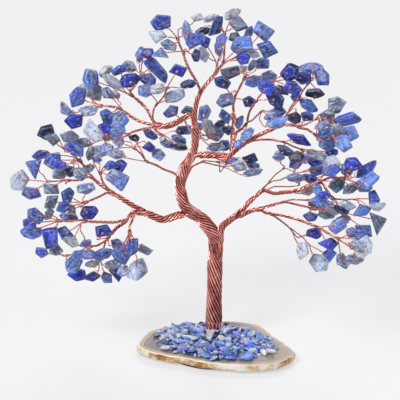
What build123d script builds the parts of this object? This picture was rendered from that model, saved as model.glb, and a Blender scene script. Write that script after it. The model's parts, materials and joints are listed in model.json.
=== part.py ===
from build123d import *
import math
import os
import random
from types import SimpleNamespace

os.makedirs("parts", exist_ok=True)

# Sizes in millimetres. The origin is on the table under the middle of the stone slice, +Z is up
# and the viewer stands on the -Y side.

# The tree as a whole, and the place it was seen from
TREE_WIDTH = 178.0
TREE_HEIGHT = 166.0
VIEW_DISTANCE = 900.0
VIEW_RISE_DEGREES = 17.0
VIEW_CENTRE_SHARES = (-0.0396, 0.4326)
TRUNK_SETBACK = 15.0

# Copper wire: one drilled stone hangs on a pair of twisted ends
WIRE_DIAMETER = 0.32
WIRE_FILL_SHARE = 0.86
BEND_SHARE = 3.0
MILDEST_TURN = 0.01
TWIG_LEAD = 0.8
WIRE_CLEARANCE = 0.06

# Drilled stone chips
STONE_LENGTH = 9.9
STONE_THICKNESS = 3.1
HOLE_DIAMETER = 0.72
HOLE_SHARE = 0.3
RIM_GAP = 0.45
STONE_CLEARANCE = 0.3
LEG_ROOM = 0.8
LEG_LIFT = 0.3
END_ROOM = 1.6
STONE_DRIFT = 1.3
NARROWEST_SHARE = 0.62

# Stone slice, pad under it and glue on it
SLICE_LENGTH = 76.0
SLICE_WIDTH = 60.0
SLICE_THICKNESS = 3.4
RIND_HEIGHT = 1.2
PAD_DIAMETER = 44.0
PAD_THICKNESS = 1.2
GLUE_THICKNESS = 0.6
GLUE_SHARE = 0.76
GLUE_SETBACK = 1.5

# Loose fragments in the glue, and the wire ends splayed into it
FRAGMENT_COUNT = 150
FRAGMENT_LENGTH = 3.7
FRAGMENT_THICKNESS = 2.2
FRAGMENT_RING = 8.6
ROOT_COUNT = 14
ROOT_RISE = 4.2
ROOT_REACH = 3.4

# Edge of the slice seen from above, in hundredths of its length and width
SLICE_EDGE_SHARES = [
    (-49.2, 1.0), (-44.5, 23.5), (-37.5, 34.5), (-30.0, 39.0), (-16.0, 45.5), (-3.0, 49.8),
    (7.0, 51.6), (19.0, 49.5), (28.0, 43.5), (32.5, 33.5), (38.0, 16.0), (44.5, 0.0),
    (49.6, -16.0), (49.0, -24.0), (46.5, -31.0), (42.0, -38.0), (35.0, -43.5), (23.5, -47.0),
    (9.5, -46.0), (0.0, -42.5), (-9.5, -38.5), (-19.0, -33.0), (-28.5, -28.0), (-40.0, -20.5),
    (-47.0, -11.0),
]

# Places in the tree: hundredths of its width across, of its height up, and of its width away
# from the trunk (minus is nearer the viewer), each as seen from the viewer's place.
# Stem: name, what it grows from, and its way
STEM_SHARES = [
    ("trunk", None, [(-0.3, 11.1, 0), (0.1, 31.4, 0)]),
    ("stem_a", "trunk", [(-3.8, 38.3, -0.5), (-6.8, 40.4, -1.0)]),
    ("stem_b", "stem_a", [(-8.7, 43.7, -1.0), (-9.3, 46.7, -0.6), (-8.8, 49.9, 0)]),
    ("stem_c", "stem_b", [(-7.6, 53.5, 0.4), (-6.0, 56.3, 0.5)]),
    ("stem_d", "stem_c", [(-5.2, 60.3, 0.5), (-5.2, 63.8, 0), (-5.4, 66.9, 0)]),
    ("stem_e", "stem_d", [(-4.9, 71.1, 0), (-3.6, 74.3, 0)]),
]

# Boughs: each limb's name, what it grows from, its way, and the stones on its end, each with
# across, up, depth from the limb's end, length, slimness, turn in degrees and number of sides
BOUGH_SHARES = {
    "left_low": [
        ("a", "stem_a", [(-10.7, 38.7, -2.5), (-13.7, 37.4, -4), (-16.6, 38.9, -5), (-20.3, 40.1, -6)], []),
        ("b", "a", [(-25.0, 43.9, -6), (-27.5, 45.5, -5)], []),
        ("c", "b", [(-30.3, 44.3, -6.5), (-34.3, 42.5, -8.5)], [
            (-39.0, 44.7, 1, 0.85, 0.80, 60, 5), (-43.2, 42.7, -1, 1.00, 0.75, 35, 4),
            (-40.2, 41.3, -4, 0.80, 0.80, 20, 5), (-37.9, 40.5, -1, 0.70, 0.70, -50, 5),
            (-34.0, 46.4, 2, 0.90, 0.65, 10, 5), (-33.2, 39.8, -3, 0.95, 0.85, 20, 6)]),
        ("d", "b", [(-29.7, 48.4, -6), (-30.3, 50.9, -8)], [
            (-27.9, 53.1, -1, 0.60, 0.80, 20, 5), (-25.3, 52.7, 2, 0.80, 0.80, 60, 5),
            (-31.3, 54.8, 1, 0.60, 0.60, -10, 5), (-26.0, 49.0, -3, 1.15, 0.75, -25, 4),
            (-33.0, 52.4, 5, 0.55, 0.80, 0, 5)]),
        ("e", "b", [(-30.2, 47.5, -3), (-32.8, 49.9, -1)], []),
        ("f", "e", [(-36.0, 48.8, 2), (-38.5, 48.8, 4)], [
            (-43.3, 46.3, -3, 1.00, 0.70, -25, 4), (-40.9, 50.9, -2, 0.95, 0.75, 20, 5)]),
        ("g", "f", [(-41.5, 48.6, 5), (-44.0, 48.5, 6)], [
            (-51.8, 49.0, 0, 1.20, 0.80, 65, 5), (-47.0, 52.7, -2, 1.10, 0.75, -60, 3),
            (-48.2, 45.1, -3, 1.05, 0.70, -20, 5)]),
        ("h", "e", [(-34.1, 52.2, -1.5), (-35.6, 54.3, -3)], [
            (-42.8, 54.6, 1, 1.00, 0.85, 40, 5), (-41.0, 53.3, -4, 0.65, 0.80, 0, 5),
            (-38.2, 51.3, 2, 0.75, 0.80, -30, 5), (-35.9, 50.9, -3, 0.85, 0.80, -40, 5),
            (-46.0, 56.1, 4, 0.95, 0.50, -5, 5)]),
        ("i", "h", [(-38.0, 56.5, -5), (-39.7, 57.9, -6)], [
            (-43.0, 60.4, -1, 0.85, 0.80, 0, 4), (-38.3, 61.2, 2, 1.00, 0.70, 10, 5),
            (-44.5, 62.5, 4, 1.00, 0.80, 35, 5), (-36.9, 57.5, -4, 1.05, 0.65, -42, 5)]),
        ("j", "a", [(-23.2, 37.7, -8), (-26.5, 36.9, -10), (-34.7, 37.2, -12)], [
            (-39.5, 33.9, -2, 0.90, 0.85, 0, 4), (-37.8, 31.5, -5, 0.85, 0.65, -25, 5),
            (-38.7, 38.6, 3, 0.95, 0.45, 5, 5), (-34.3, 31.0, 1, 0.65, 0.60, 5, 5)]),
        ("k", "j", [(-39.0, 37.2, -14), (-41.0, 37.4, -15)], [
            (-44.0, 39.1, 3, 0.65, 0.65, 60, 5), (-47.3, 38.9, -1, 1.00, 0.70, -25, 5),
            (-43.5, 32.9, 0, 1.15, 0.80, 85, 4), (-48.6, 34.2, -4, 1.05, 0.75, 10, 6),
            (-49.1, 36.7, 3, 0.75, 0.80, -30, 5)]),
        ("l", "a", [(-23.5, 37.1, -5), (-26.0, 35.4, -4), (-28.3, 32.5, -3)], [
            (-29.2, 34.5, -8, 0.95, 0.70, 0, 4), (-25.5, 30.6, -2, 0.90, 0.65, -20, 5)]),
        ("m", "l", [(-31.0, 30.4, -6), (-32.8, 30.1, -8)], [
            (-36.0, 27.7, -4, 0.85, 0.75, 30, 5), (-33.4, 28.0, -8, 0.70, 0.85, 0, 5),
            (-37.6, 25.1, 1, 0.95, 0.85, 60, 5)]),
        ("n", "m", [(-36.5, 28.1, -6.5), (-39.0, 27.5, -5)], [
            (-45.6, 28.3, 2, 0.70, 0.80, -10, 5), (-42.2, 29.5, -2, 0.90, 0.75, -40, 5),
            (-36.5, 22.2, 5, 1.05, 0.70, -5, 5)]),
        ("o", "l", [(-29.4, 29.6, 1), (-30.3, 26.3, 0)], [
            (-32.5, 21.5, -2, 1.00, 0.60, 5, 4), (-28.5, 21.3, -3, 0.75, 0.75, -60, 5),
            (-26.0, 22.1, 2, 0.90, 0.65, -65, 4), (-32.5, 25.2, -5, 0.80, 0.45, 3, 5),
            (-29.6, 28.0, -9, 1.15, 0.50, 28, 5)]),
        ("p", "a", [(-21.7, 37.7, -9), (-22.6, 35.7, -11), (-22.5, 34.0, -12)], [
            (-21.9, 29.9, -2, 1.00, 0.65, 75, 5), (-18.4, 29.2, 2, 0.80, 0.70, -15, 4),
            (-25.0, 27.6, -7, 1.00, 0.75, -40, 5), (-20.5, 23.5, 3, 1.30, 0.75, 50, 5),
            (-24.2, 23.2, -4, 0.70, 0.80, 40, 5), (-26.9, 25.1, 4, 0.85, 0.60, 5, 6)]),
    ],
    "left_back": [
        ("a", "stem_b", [(-10.9, 50.9, 4), (-13.7, 52.0, 9), (-15.4, 53.1, 12), (-18.0, 54.1, 15)], [
            (-26.0, 56.3, -3, 1.00, 0.62, -5, 5), (-21.4, 61.0, 4, 0.60, 0.70, -20, 5)]),
        ("b", "a", [(-19.4, 56.3, 17), (-21.3, 57.9, 18)], [
            (-17.8, 58.3, 1, 0.75, 0.90, 0, 4), (-25.5, 59.8, 2, 0.75, 0.85, 80, 5),
            (-30.0, 57.0, 4, 0.95, 0.75, 0, 6), (-27.8, 61.5, 6, 0.80, 0.75, 30, 5),
            (-15.0, 56.3, 3, 0.85, 0.75, -20, 5)]),
    ],
    "left_high": [
        ("a", "stem_d", [
            (-7.3, 67.2, 0.5), (-9.2, 65.8, 1.5), (-11.1, 64.6, 2), (-13.2, 64.0, 2.5), (-15.4, 64.2, 3)], []),
        ("b", "a", [(-15.3, 62.7, 6), (-13.8, 61.6, 9)], [
            (-17.2, 62.0, 3, 0.95, 0.55, -25, 5), (-12.9, 59.8, 0, 0.85, 0.50, -10, 5),
            (-9.6, 60.5, 5, 0.85, 0.50, -15, 5), (-9.5, 58.4, 2, 0.90, 0.50, -5, 5),
            (-8.9, 62.9, 8, 0.65, 0.75, 0, 5)]),
        ("c", "a", [(-18.0, 63.6, 2), (-21.3, 62.7, 0), (-23.0, 61.9, -2)], [
            (-25.7, 63.0, -3, 0.80, 0.85, 10, 6), (-29.0, 63.5, 1, 0.80, 0.75, 0, 5)]),
        ("d", "c", [(-26.0, 60.3, -4), (-29.0, 60.6, -5)], [
            (-32.4, 62.9, -3, 1.20, 0.70, -55, 4), (-32.9, 56.5, 2, 0.80, 0.50, 85, 5),
            (-28.6, 58.0, -3, 0.75, 0.80, 20, 5),
            (-34.5, 59.5, 4, 0.90, 0.50, -15, 5)]),
        ("e", "a", [(-17.3, 64.7, 4), (-20.1, 65.6, 5), (-22.4, 67.0, 6), (-25.2, 69.3, 7)], [
            (-28.4, 73.5, 1, 0.85, 0.70, -50, 5), (-26.4, 73.0, 5, 0.60, 0.70, -40, 5),
            (-25.4, 65.9, -6, 1.00, 0.85, 50, 5), (-28.6, 66.7, -3, 0.95, 0.75, -35, 5)]),
        ("f", "e", [(-28.0, 69.8, 8), (-30.3, 69.9, 8)], [
            (-31.6, 73.7, 2, 1.05, 0.80, -50, 5), (-36.3, 72.3, -1, 1.20, 0.80, 60, 5),
            (-34.2, 74.0, 3, 0.85, 0.65, -60, 5), (-33.5, 68.4, -4, 1.05, 0.60, -5, 5),
            (-37.1, 65.7, 0, 1.10, 0.70, 15, 5), (-39.0, 68.1, 4, 1.20, 0.50, -32, 3)]),
        ("g", "a", [(-16.9, 66.7, 4.5), (-17.7, 68.5, 6.5)], []),
        ("h", "g", [(-19.6, 70.8, 8), (-22.2, 73.1, 9)], [
            (-26.9, 76.4, -2, 1.30, 0.42, -42, 4), (-22.2, 77.2, -4, 1.10, 0.65, 10, 6),
            (-25.3, 80.3, 2, 0.85, 0.60, 20, 5), (-28.8, 79.9, 4, 0.85, 0.60, 25, 5),
            (-32.8, 77.4, -1, 1.05, 0.80, 80, 5)]),
        ("i", "h", [(-20.9, 75.7, 10.5), (-19.7, 78.6, 12)], [
            (-19.8, 84.5, 2, 0.90, 0.50, 85, 4), (-17.8, 84.7, -3, 0.70, 0.85, 0, 5),
            (-17.5, 77.4, -6, 0.90, 0.80, -30, 6), (-22.7, 81.1, 2, 0.85, 0.75, 0, 6),
            (-15.3, 80.2, -1, 1.60, 0.48, -43, 4)]),
        ("j", "a", [(-16.5, 66.9, 2), (-16.2, 69.1, 1.5), (-15.3, 70.4, 1.5)], [
            (-18.1, 74.3, -2, 0.90, 0.80, 0, 5), (-10.6, 72.7, -2, 1.05, 0.62, 15, 6)]),
        ("k", "j", [(-13.6, 72.4, 2), (-12.6, 75.0, 1)], [
            (-9.8, 80.0, -1, 0.95, 0.65, -10, 4), (-7.0, 76.2, -4, 0.85, 0.50, 5, 5),
            (-15.2, 74.6, -3, 0.85, 0.65, 15, 5)]),
    ],
    "crown_left": [
        ("a", "stem_e", [(-4.9, 76.8, -1), (-6.8, 80.2, -2.5), (-7.9, 82.8, -3.5), (-8.3, 84.9, -4)], [
            (-14.5, 85.0, -1, 0.90, 0.65, 0, 3), (-5.2, 88.9, -3, 1.05, 0.70, 25, 5),
            (-5.1, 84.3, 3, 0.65, 0.70, 80, 5)]),
        ("b", "a", [(-9.3, 87.1, -5), (-9.8, 88.9, -6)], [
            (-14.3, 93.7, 0, 1.10, 0.75, 20, 5), (-15.2, 89.5, -3, 0.95, 0.70, 0, 4),
            (-7.4, 90.9, 2, 1.25, 0.50, 85, 4), (-12.3, 87.2, -6, 0.85, 0.65, -25, 5),
            (-4.6, 95.0, 5, 0.75, 0.65, -10, 4)]),
    ],
    "crown_right": [
        ("a", "stem_e", [(-2.4, 75.9, 1.5), (-0.1, 78.8, 3), (0.4, 79.8, 3.5)], []),
        ("b", "a", [(0.5, 81.9, 4)], [
            (-3.0, 84.4, -1, 0.85, 0.75, -75, 5), (1.0, 85.9, 2, 0.75, 0.50, 85, 5),
            (1.7, 88.4, -2, 0.75, 0.80, 30, 5), (-2.7, 87.8, 2, 0.75, 0.70, 80, 5)]),
        ("c", "a", [(2.4, 82.3, 7)], [
            (7.5, 83.2, -1, 0.75, 0.85, 0, 6), (6.9, 87.1, 2, 1.20, 0.75, 15, 5)]),
        ("d", "c", [(2.5, 86.1, 9), (2.5, 90.4, 11)], [
            (6.3, 93.1, 1, 1.10, 0.75, -5, 4), (4.7, 95.9, 5, 0.95, 0.55, 28, 5),
            (0.5, 92.3, -3, 1.15, 0.60, 75, 4), (-1.5, 94.6, 4, 0.70, 0.55, 10, 5),
            (-3.0, 91.2, 6, 0.90, 0.60, 15, 5)]),
        ("e", "c", [(5.5, 83.7, 10), (8.6, 86.1, 13)], [
            (12.7, 91.2, 2, 1.05, 0.75, -35, 4), (13.7, 85.8, -1, 1.20, 0.80, -20, 4),
            (10.0, 84.7, -4, 0.85, 0.60, -35, 5), (9.0, 90.7, 4, 0.80, 0.60, 65, 5),
            (5.3, 89.4, 5, 0.70, 0.75, 0, 5)]),
    ],
    "right_mid": [
        ("a", "stem_c", [(-1.2, 56.2, 0), (2.2, 55.4, -1)], []),
        ("b", "a", [(4.6, 59.7, 1), (4.9, 61.5, 2)], [
            (6.1, 59.4, -5, 0.55, 0.80, 0, 5)]),
        ("c", "b", [(4.8, 63.0, 6), (4.8, 66.6, 9)], [
            (2.7, 66.9, -3, 0.85, 0.65, -55, 4), (6.4, 65.4, 2, 0.80, 0.50, 85, 5),
            (1.3, 64.9, 1, 0.75, 0.55, 10, 5), (3.5, 62.9, 4, 0.65, 0.80, 0, 5)]),
        ("d", "c", [(4.8, 69.3, 11), (4.9, 71.7, 12)], [
            (2.6, 71.5, -3, 0.95, 0.75, 10, 5), (9.0, 71.2, 3, 0.70, 0.85, 0, 5),
            (1.9, 76.7, 1, 0.95, 0.70, -25, 5)]),
        ("e", "d", [(6.3, 74.7, 14), (7.8, 77.8, 15)], [
            (4.2, 79.2, -2, 1.00, 0.65, 15, 4), (10.2, 76.9, -3, 0.95, 0.70, 5, 6),
            (9.8, 81.4, 1, 0.70, 0.60, 70, 5), (14.2, 78.4, 3, 0.85, 0.80, -20, 5),
            (12.1, 82.0, 4, 0.95, 0.65, -5, 5), (7.2, 80.4, 4, 0.60, 0.70, 30, 5)]),
        ("f", "b", [(7.0, 63.3, 1), (8.2, 64.7, 0)], [
            (8.3, 61.6, -3, 0.95, 0.55, 28, 5)]),
        ("g", "f", [(8.6, 66.3, -0.2), (9.2, 68.6, -3), (11.0, 71.4, -4)], [
            (13.8, 75.3, -2.5, 1.00, 0.75, -25, 5), (16.1, 71.7, -2, 1.15, 0.65, -55, 5)]),
        ("h", "g", [(13.0, 74.1, 0), (15.2, 76.7, 2)], [
            (19.8, 79.6, 0, 1.15, 0.80, 20, 5), (20.6, 75.0, -3, 0.95, 0.75, -15, 5),
            (23.2, 77.9, 3, 0.90, 0.80, 0, 5),
            (17.6, 74.3, 4, 0.80, 0.65, -20, 5)]),
        ("i", "f", [(9.7, 65.7, -3), (12.2, 68.3, -5)], [
            (17.0, 68.3, 1, 0.75, 0.85, 0, 5), (14.5, 67.1, -2, 0.70, 0.80, 30, 5),
            (16.4, 65.1, -4, 1.15, 0.52, 5, 5)]),
        ("j", "a", [(4.9, 56.9, -2), (7.0, 58.7, -3), (9.2, 60.1, -4)], []),
        ("k", "j", [(14.2, 62.9, -4), (17.4, 64.5, -4)], []),
        ("l", "k", [(18.3, 66.3, 0), (19.8, 68.9, 3)], [
            (20.9, 66.5, 4, 0.75, 0.85, 0, 6), (24.8, 70.0, -4, 1.15, 0.60, -15, 5),
            (21.3, 72.5, 4, 0.60, 0.80, 0, 5)]),
        ("m", "l", [(22.0, 72.3, 5), (24.6, 76.3, 6)], [
            (25.5, 80.5, 2, 1.35, 0.55, 5, 6), (28.4, 78.1, -3, 1.05, 0.70, -65, 5),
            (26.5, 73.5, -3, 1.05, 0.60, -15, 5)]),
        ("n", "k", [(20.3, 64.5, -4.5), (22.6, 64.0, -4)], [
            (24.3, 67.1, 2, 0.75, 0.75, -20, 5)]),
        ("o", "n", [(24.9, 65.1, -3.5), (27.0, 66.4, -3)], [
            (29.1, 67.2, 1, 0.80, 0.75, 10, 5), (32.0, 70.0, 3, 1.10, 0.85, 20, 5),
            (35.0, 66.1, -1, 1.30, 0.50, 25, 4), (31.2, 65.6, 5, 0.65, 0.70, 0, 5)]),
        ("p", "n", [(24.6, 63.2, -6), (26.6, 61.6, -8)], [
            (28.2, 64.3, 1, 0.80, 0.50, 5, 5), (29.3, 62.0, -3, 0.95, 0.65, 5, 5),
            (29.8, 59.1, 1, 1.05, 0.70, 10, 5)]),
        ("q", "p", [(29.0, 60.8, -8.5), (30.6, 61.0, -8)], [
            (33.9, 59.4, -3, 1.00, 0.85, -40, 5), (32.2, 63.6, 2, 0.95, 0.55, 0, 6),
            (35.6, 62.3, 0, 0.90, 0.80, -55, 4), (32.7, 61.9, 5, 0.70, 0.75, 0, 5)]),
        ("r", "j", [(12.0, 60.4, -6), (15.0, 60.4, -8), (18.3, 59.6, -10)], [
            (22.2, 60.5, -2, 1.40, 0.50, -33, 4), (18.4, 57.4, -4, 0.95, 0.60, -25, 5)]),
        ("s", "r", [(20.5, 58.5, -8), (23.0, 57.5, -6)], [
            (21.5, 55.9, 1, 0.90, 0.70, -10, 5), (26.4, 56.2, -2, 1.20, 0.42, 2, 5),
            (30.7, 56.7, 2, 0.70, 0.80, 0, 5), (26.5, 54.1, 5, 0.85, 0.75, -10, 5)]),
    ],
    "back_high": [
        ("a", "stem_c", [(-5.0, 58.5, 6), (-4.6, 60.1, 12), (-4.0, 61.1, 16)], [
            (-2.9, 68.0, 2, 0.95, 0.70, 65, 5), (-2.0, 64.1, -5, 0.90, 0.70, -70, 5),
            (-4.6, 64.0, 4, 0.60, 0.80, 0, 5), (-0.1, 62.1, 0, 1.05, 0.90, 0, 6),
            (0.3, 58.2, -1, 1.00, 0.52, -8, 5)]),
        ("b", "a", [(-6.6, 62.7, 20), (-7.8, 65.3, 23)], [
            (-7.3, 68.6, -2, 0.75, 0.70, 0, 5), (-7.2, 63.7, -3, 0.70, 0.75, 20, 5),
            (-11.5, 68.3, 4, 0.90, 0.75, 30, 5)]),
    ],
    "back_low": [
        ("a", "stem_b", [(-7.6, 49.5, 6), (-6.2, 52.7, 11), (-3.5, 54.1, 15)], []),
        ("b", "a", [(-1.0, 54.2, 15), (0.9, 54.0, 14)], [
            (4.0, 54.5, -2, 0.90, 0.60, -20, 5), (6.2, 53.0, -5, 1.00, 0.70, -20, 4),
            (9.2, 54.8, 3, 0.80, 0.75, 20, 4)]),
        ("c", "a", [(-0.5, 53.3, 18), (2.5, 52.7, 19)], [
            (10.0, 52.9, 1, 0.75, 0.55, -5, 5), (10.0, 51.2, -3, 1.05, 0.42, -5, 5),
            (2.2, 58.7, 6, 0.80, 0.80, 0, 5)]),
    ],
    "right_low": [
        ("a", "trunk", [(2.0, 36.0, -1), (4.6, 38.2, -2.5), (7.1, 39.7, -3.5)], []),
        ("b", "a", [(8.7, 42.4, -3), (11.6, 45.2, -2)], []),
        ("c", "b", [(12.8, 46.7, 0), (14.6, 48.5, 2)], []),
        ("d", "c", [(16.0, 50.5, 5), (18.3, 52.3, 8)], [
            (21.2, 53.4, 6, 0.80, 0.75, 20, 5), (16.8, 55.7, 3, 0.75, 0.80, 10, 5)]),
        ("e", "c", [(17.2, 48.9, 4), (20.6, 50.6, 6)], [
            (26.7, 51.5, -2, 0.80, 0.85, 0, 5), (24.0, 55.1, 7, 0.80, 0.75, 20, 5),
            (28.8, 53.4, 2, 0.70, 0.80, 30, 5)]),
        ("f", "b", [(15.6, 47.1, -1.5), (19.5, 47.0, -7), (21.9, 47.3, -8)], [
            (21.3, 49.6, -4, 1.00, 0.42, 0, 5), (25.2, 49.3, 1, 0.95, 0.45, -5, 5)]),
        ("g", "b", [(15.6, 45.1, -7), (20.0, 45.6, -11), (21.8, 45.7, -12)], [
            (27.2, 45.9, -3, 0.85, 0.50, -75, 5)]),
        ("h", "g", [(24.2, 47.1, -12), (27.3, 48.4, -12)], [
            (32.6, 48.0, 1, 0.95, 0.80, 50, 5), (31.0, 53.9, 3, 0.90, 0.80, -30, 5),
            (30.9, 51.3, -3, 0.95, 0.62, 25, 5)]),
        ("i", "h", [(30.5, 49.7, -14), (33.7, 49.5, -15)], [
            (40.1, 51.8, -1, 1.30, 0.50, 18, 4), (40.7, 48.9, -4, 1.00, 0.70, 45, 4),
            (34.5, 51.7, 2, 0.75, 0.80, -40, 5), (36.6, 53.3, -3, 1.00, 0.75, -10, 5),
            (35.9, 46.6, -3, 0.95, 0.60, 20, 5), (39.4, 46.6, 2, 0.90, 0.60, 0, 5)]),
        ("j", "h", [(29.4, 46.1, -14), (31.2, 43.7, -16)], [
            (33.3, 40.8, 2, 0.80, 0.65, -35, 5), (34.9, 41.9, -3, 0.90, 0.55, -35, 4),
            (27.6, 43.1, 3, 0.85, 0.70, 10, 5), (29.1, 44.5, -1, 0.65, 0.75, 0, 5)]),
        ("k", "j", [(33.8, 43.4, -19), (37.2, 43.5, -20)], [
            (42.1, 43.6, 1, 0.90, 0.65, -80, 5), (42.7, 41.3, -3, 0.90, 0.50, -12, 3),
            (38.6, 40.3, -1, 1.00, 0.65, 25, 4)]),
        ("l", "a", [(9.6, 40.3, -5), (11.9, 40.7, -6)], []),
        ("m", "l", [(15.0, 41.8, -5), (18.0, 42.7, -5)], []),
        ("n", "m", [(20.5, 43.4, -3), (24.5, 43.2, -2)], [
            (29.4, 41.7, 5, 0.90, 0.80, 20, 5), (26.2, 41.7, 7, 0.70, 0.80, 0, 5),
            (24.6, 46.0, 5, 0.80, 0.75, 0, 5)]),
        ("o", "m", [(22.3, 41.8, -8), (25.2, 41.1, -9)], [
            (25.1, 38.5, -3, 0.85, 0.65, -10, 5), (29.4, 39.3, 1, 0.85, 0.70, 0, 6),
            (31.3, 40.4, -4, 0.75, 0.60, -15, 5)]),
        ("p", "o", [(29.0, 40.0, -11), (32.6, 39.7, -12)], [
            (33.9, 38.0, 1, 0.80, 0.65, 0, 5), (39.3, 34.7, -3, 0.95, 0.70, -5, 4),
            (43.0, 37.4, -1, 1.20, 0.75, -55, 3)]),
        ("q", "l", [(13.2, 39.7, -8), (15.0, 39.2, -10)], []),
        ("r", "q", [(18.3, 38.8, -13), (22.5, 37.5, -16), (27.1, 35.6, -19)], [
            (29.8, 30.8, -3, 1.05, 0.70, -15, 4), (32.3, 36.0, 0, 0.95, 0.75, 30, 5)]),
        ("s", "r", [(29.4, 34.1, -21), (32.2, 32.5, -23)], [
            (36.3, 34.1, 2, 0.70, 0.80, 0, 5), (38.5, 32.1, -1, 0.75, 0.75, -40, 5),
            (33.7, 26.1, 0, 0.85, 0.75, -35, 5)]),
        ("t", "s", [(34.2, 31.1, -25), (36.2, 29.7, -27)], [
            (36.9, 26.5, -1, 0.95, 0.60, -5, 5), (38.6, 28.0, -5, 0.65, 0.75, 0, 5),
            (40.1, 30.3, 0, 0.90, 0.70, -60, 5), (37.4, 30.5, -5, 0.70, 0.65, -20, 5)]),
        ("u", "q", [(17.1, 37.6, -10), (18.7, 36.3, -9), (20.1, 34.9, -8)], [
            (26.0, 33.6, -1, 0.80, 0.80, 20, 5), (23.2, 28.8, -4, 0.95, 0.70, 75, 5)]),
        ("v", "u", [(23.2, 32.7, -7), (24.8, 30.7, -7)], [
            (27.5, 25.3, -3, 1.05, 0.90, -30, 6), (29.7, 27.4, 3, 0.85, 0.75, 50, 5)]),
    ],
}

SLICE_BOTTOM = PAD_THICKNESS
SLICE_TOP = SLICE_BOTTOM + SLICE_THICKNESS
GLUE_TOP = SLICE_TOP + GLUE_THICKNESS
WIRE_RADIUS = WIRE_DIAMETER / 2
PAIR_RADIUS = WIRE_DIAMETER
HOLE_RADIUS = HOLE_DIAMETER / 2
TWIG_BEND = BEND_SHARE * PAIR_RADIUS


# Arithmetic on places given as three numbers
def plus(a, b, share=1.0):
    return (a[0] + b[0] * share, a[1] + b[1] * share, a[2] + b[2] * share)


def minus(a, b):
    return (a[0] - b[0], a[1] - b[1], a[2] - b[2])


def dot(a, b):
    return a[0] * b[0] + a[1] * b[1] + a[2] * b[2]


def cross(a, b):
    return (a[1] * b[2] - a[2] * b[1], a[2] * b[0] - a[0] * b[2], a[0] * b[1] - a[1] * b[0])


def size_of(a):
    return math.sqrt(dot(a, a))


def unit(a):
    size = size_of(a) or 1.0
    return (a[0] / size, a[1] / size, a[2] / size)


def toward(a, b, share):
    return plus(a, minus(b, a), share)


def flattened(a, axis):
    """The part of a that lies square to an axis."""
    return plus(a, axis, -dot(a, axis))


def swung(first, second, degrees):
    angle = math.radians(degrees)
    mixed = tuple(c * math.cos(angle) for c in first)
    return plus(mixed, second, math.sin(angle))


def square_to(axis):
    other = (0.0, 0.0, 1.0) if abs(axis[2]) < 0.9 else (0.0, 1.0, 0.0)
    side = unit(cross(axis, other))
    return side, cross(axis, side)


# Places in the tree from where they are seen
VIEW_SINE = math.sin(math.radians(VIEW_RISE_DEGREES))
VIEW_COSINE = math.cos(math.radians(VIEW_RISE_DEGREES))
VIEW_HEIGHT = VIEW_CENTRE_SHARES[1] * TREE_HEIGHT
VIEWER = (
    VIEW_CENTRE_SHARES[0] * TREE_WIDTH,
    VIEW_HEIGHT * VIEW_SINE - VIEW_DISTANCE * VIEW_COSINE,
    VIEW_HEIGHT * VIEW_COSINE + VIEW_DISTANCE * VIEW_SINE,
)


def sight(across, up, depth):
    height = up / 100 * TREE_HEIGHT
    seen = (across / 100 * TREE_WIDTH, height * VIEW_SINE, height * VIEW_COSINE)
    ray = minus(seen, VIEWER)
    far = (TRUNK_SETBACK + depth / 100 * TREE_WIDTH - VIEWER[1]) / ray[1]
    return plus(VIEWER, ray, far)


# Limbs: ropes of twisted wire, each as thick as the wires that run on in it
def bundle_radius(stone_count):
    return max(PAIR_RADIUS, WIRE_RADIUS * math.sqrt(2 * stone_count / WIRE_FILL_SHARE))


def limb_rows():
    """The rows of both tables in one list, each limb with its full name."""
    rows = [("stem", key, parent, route, []) for key, parent, route in STEM_SHARES]
    stem = [row[1] for row in rows]
    for bough, members in BOUGH_SHARES.items():
        for key, parent, route, stones in members:
            parent = parent if parent in stem else f"{bough}_{parent}"
            rows.append((bough, f"{bough}_{key}", parent, route, stones))
    return rows


def grow_limbs():
    limbs = {}
    for bough, key, parent, route, stones in limb_rows():
        limb = SimpleNamespace(bough=bough, key=key, parent=parent, depth=route[-1][2])
        limb.route = [sight(*place) for place in route]
        limb.rows = stones
        limb.stones = []
        limbs[key] = limb
    for limb in limbs.values():
        limb.limbs = [other for other in limbs.values() if other.parent == limb.key]
    count_stones(limbs["trunk"])
    return limbs


def count_stones(limb):
    limb.count = len(limb.rows) + sum(count_stones(child) for child in limb.limbs)
    limb.radius = bundle_radius(limb.count)
    return limb.count


def fork_places(radii):
    """Where the parts that leave a fork start, side by side in a ring round its middle."""
    if len(radii) == 1:
        return [(0.0, 0.0)]
    low = (radii[0] + radii[1] + WIRE_CLEARANCE) / 2 if len(radii) == 2 else max(radii) / 2
    ring = low
    high = sum(radii) * 2
    for _ in range(50 if len(radii) > 2 else 0):
        ring = (low + high) / 2
        total = sum(ring_angle(radii, i, ring) for i in range(len(radii)))
        if total > 2 * math.pi:
            low = ring
        else:
            high = ring
    ring = high if len(radii) > 2 else ring
    places = []
    angle = 0.0
    for i in range(len(radii)):
        angle += ring_angle(radii, i, ring) if i else 0.0
        places.append((ring * math.cos(angle), ring * math.sin(angle)))
    middle = [sum(r * p[k] for r, p in zip(radii, places)) / sum(radii) for k in range(2)]
    return [(p[0] - middle[0], p[1] - middle[1]) for p in places]


def ring_angle(radii, i, ring):
    reach = (radii[i] + radii[i - 1] + WIRE_CLEARANCE) / (2 * ring)
    return 2 * math.asin(min(1.0, reach))


def lead_of(start, heading, radius, goal):
    """The first straight run out of a fork, long enough for the bend that follows it."""
    length = TWIG_LEAD + 0.3 * radius
    for _ in range(3):
        bend = dot(heading, unit(minus(goal, plus(start, heading, length))))
        half = math.tan(math.acos(max(-0.5, min(1.0, bend))) / 2)
        length = max(TWIG_LEAD + 0.3 * radius, min(2.8 * half, 3.2) * radius)
    return plus(start, heading, length)


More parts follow.
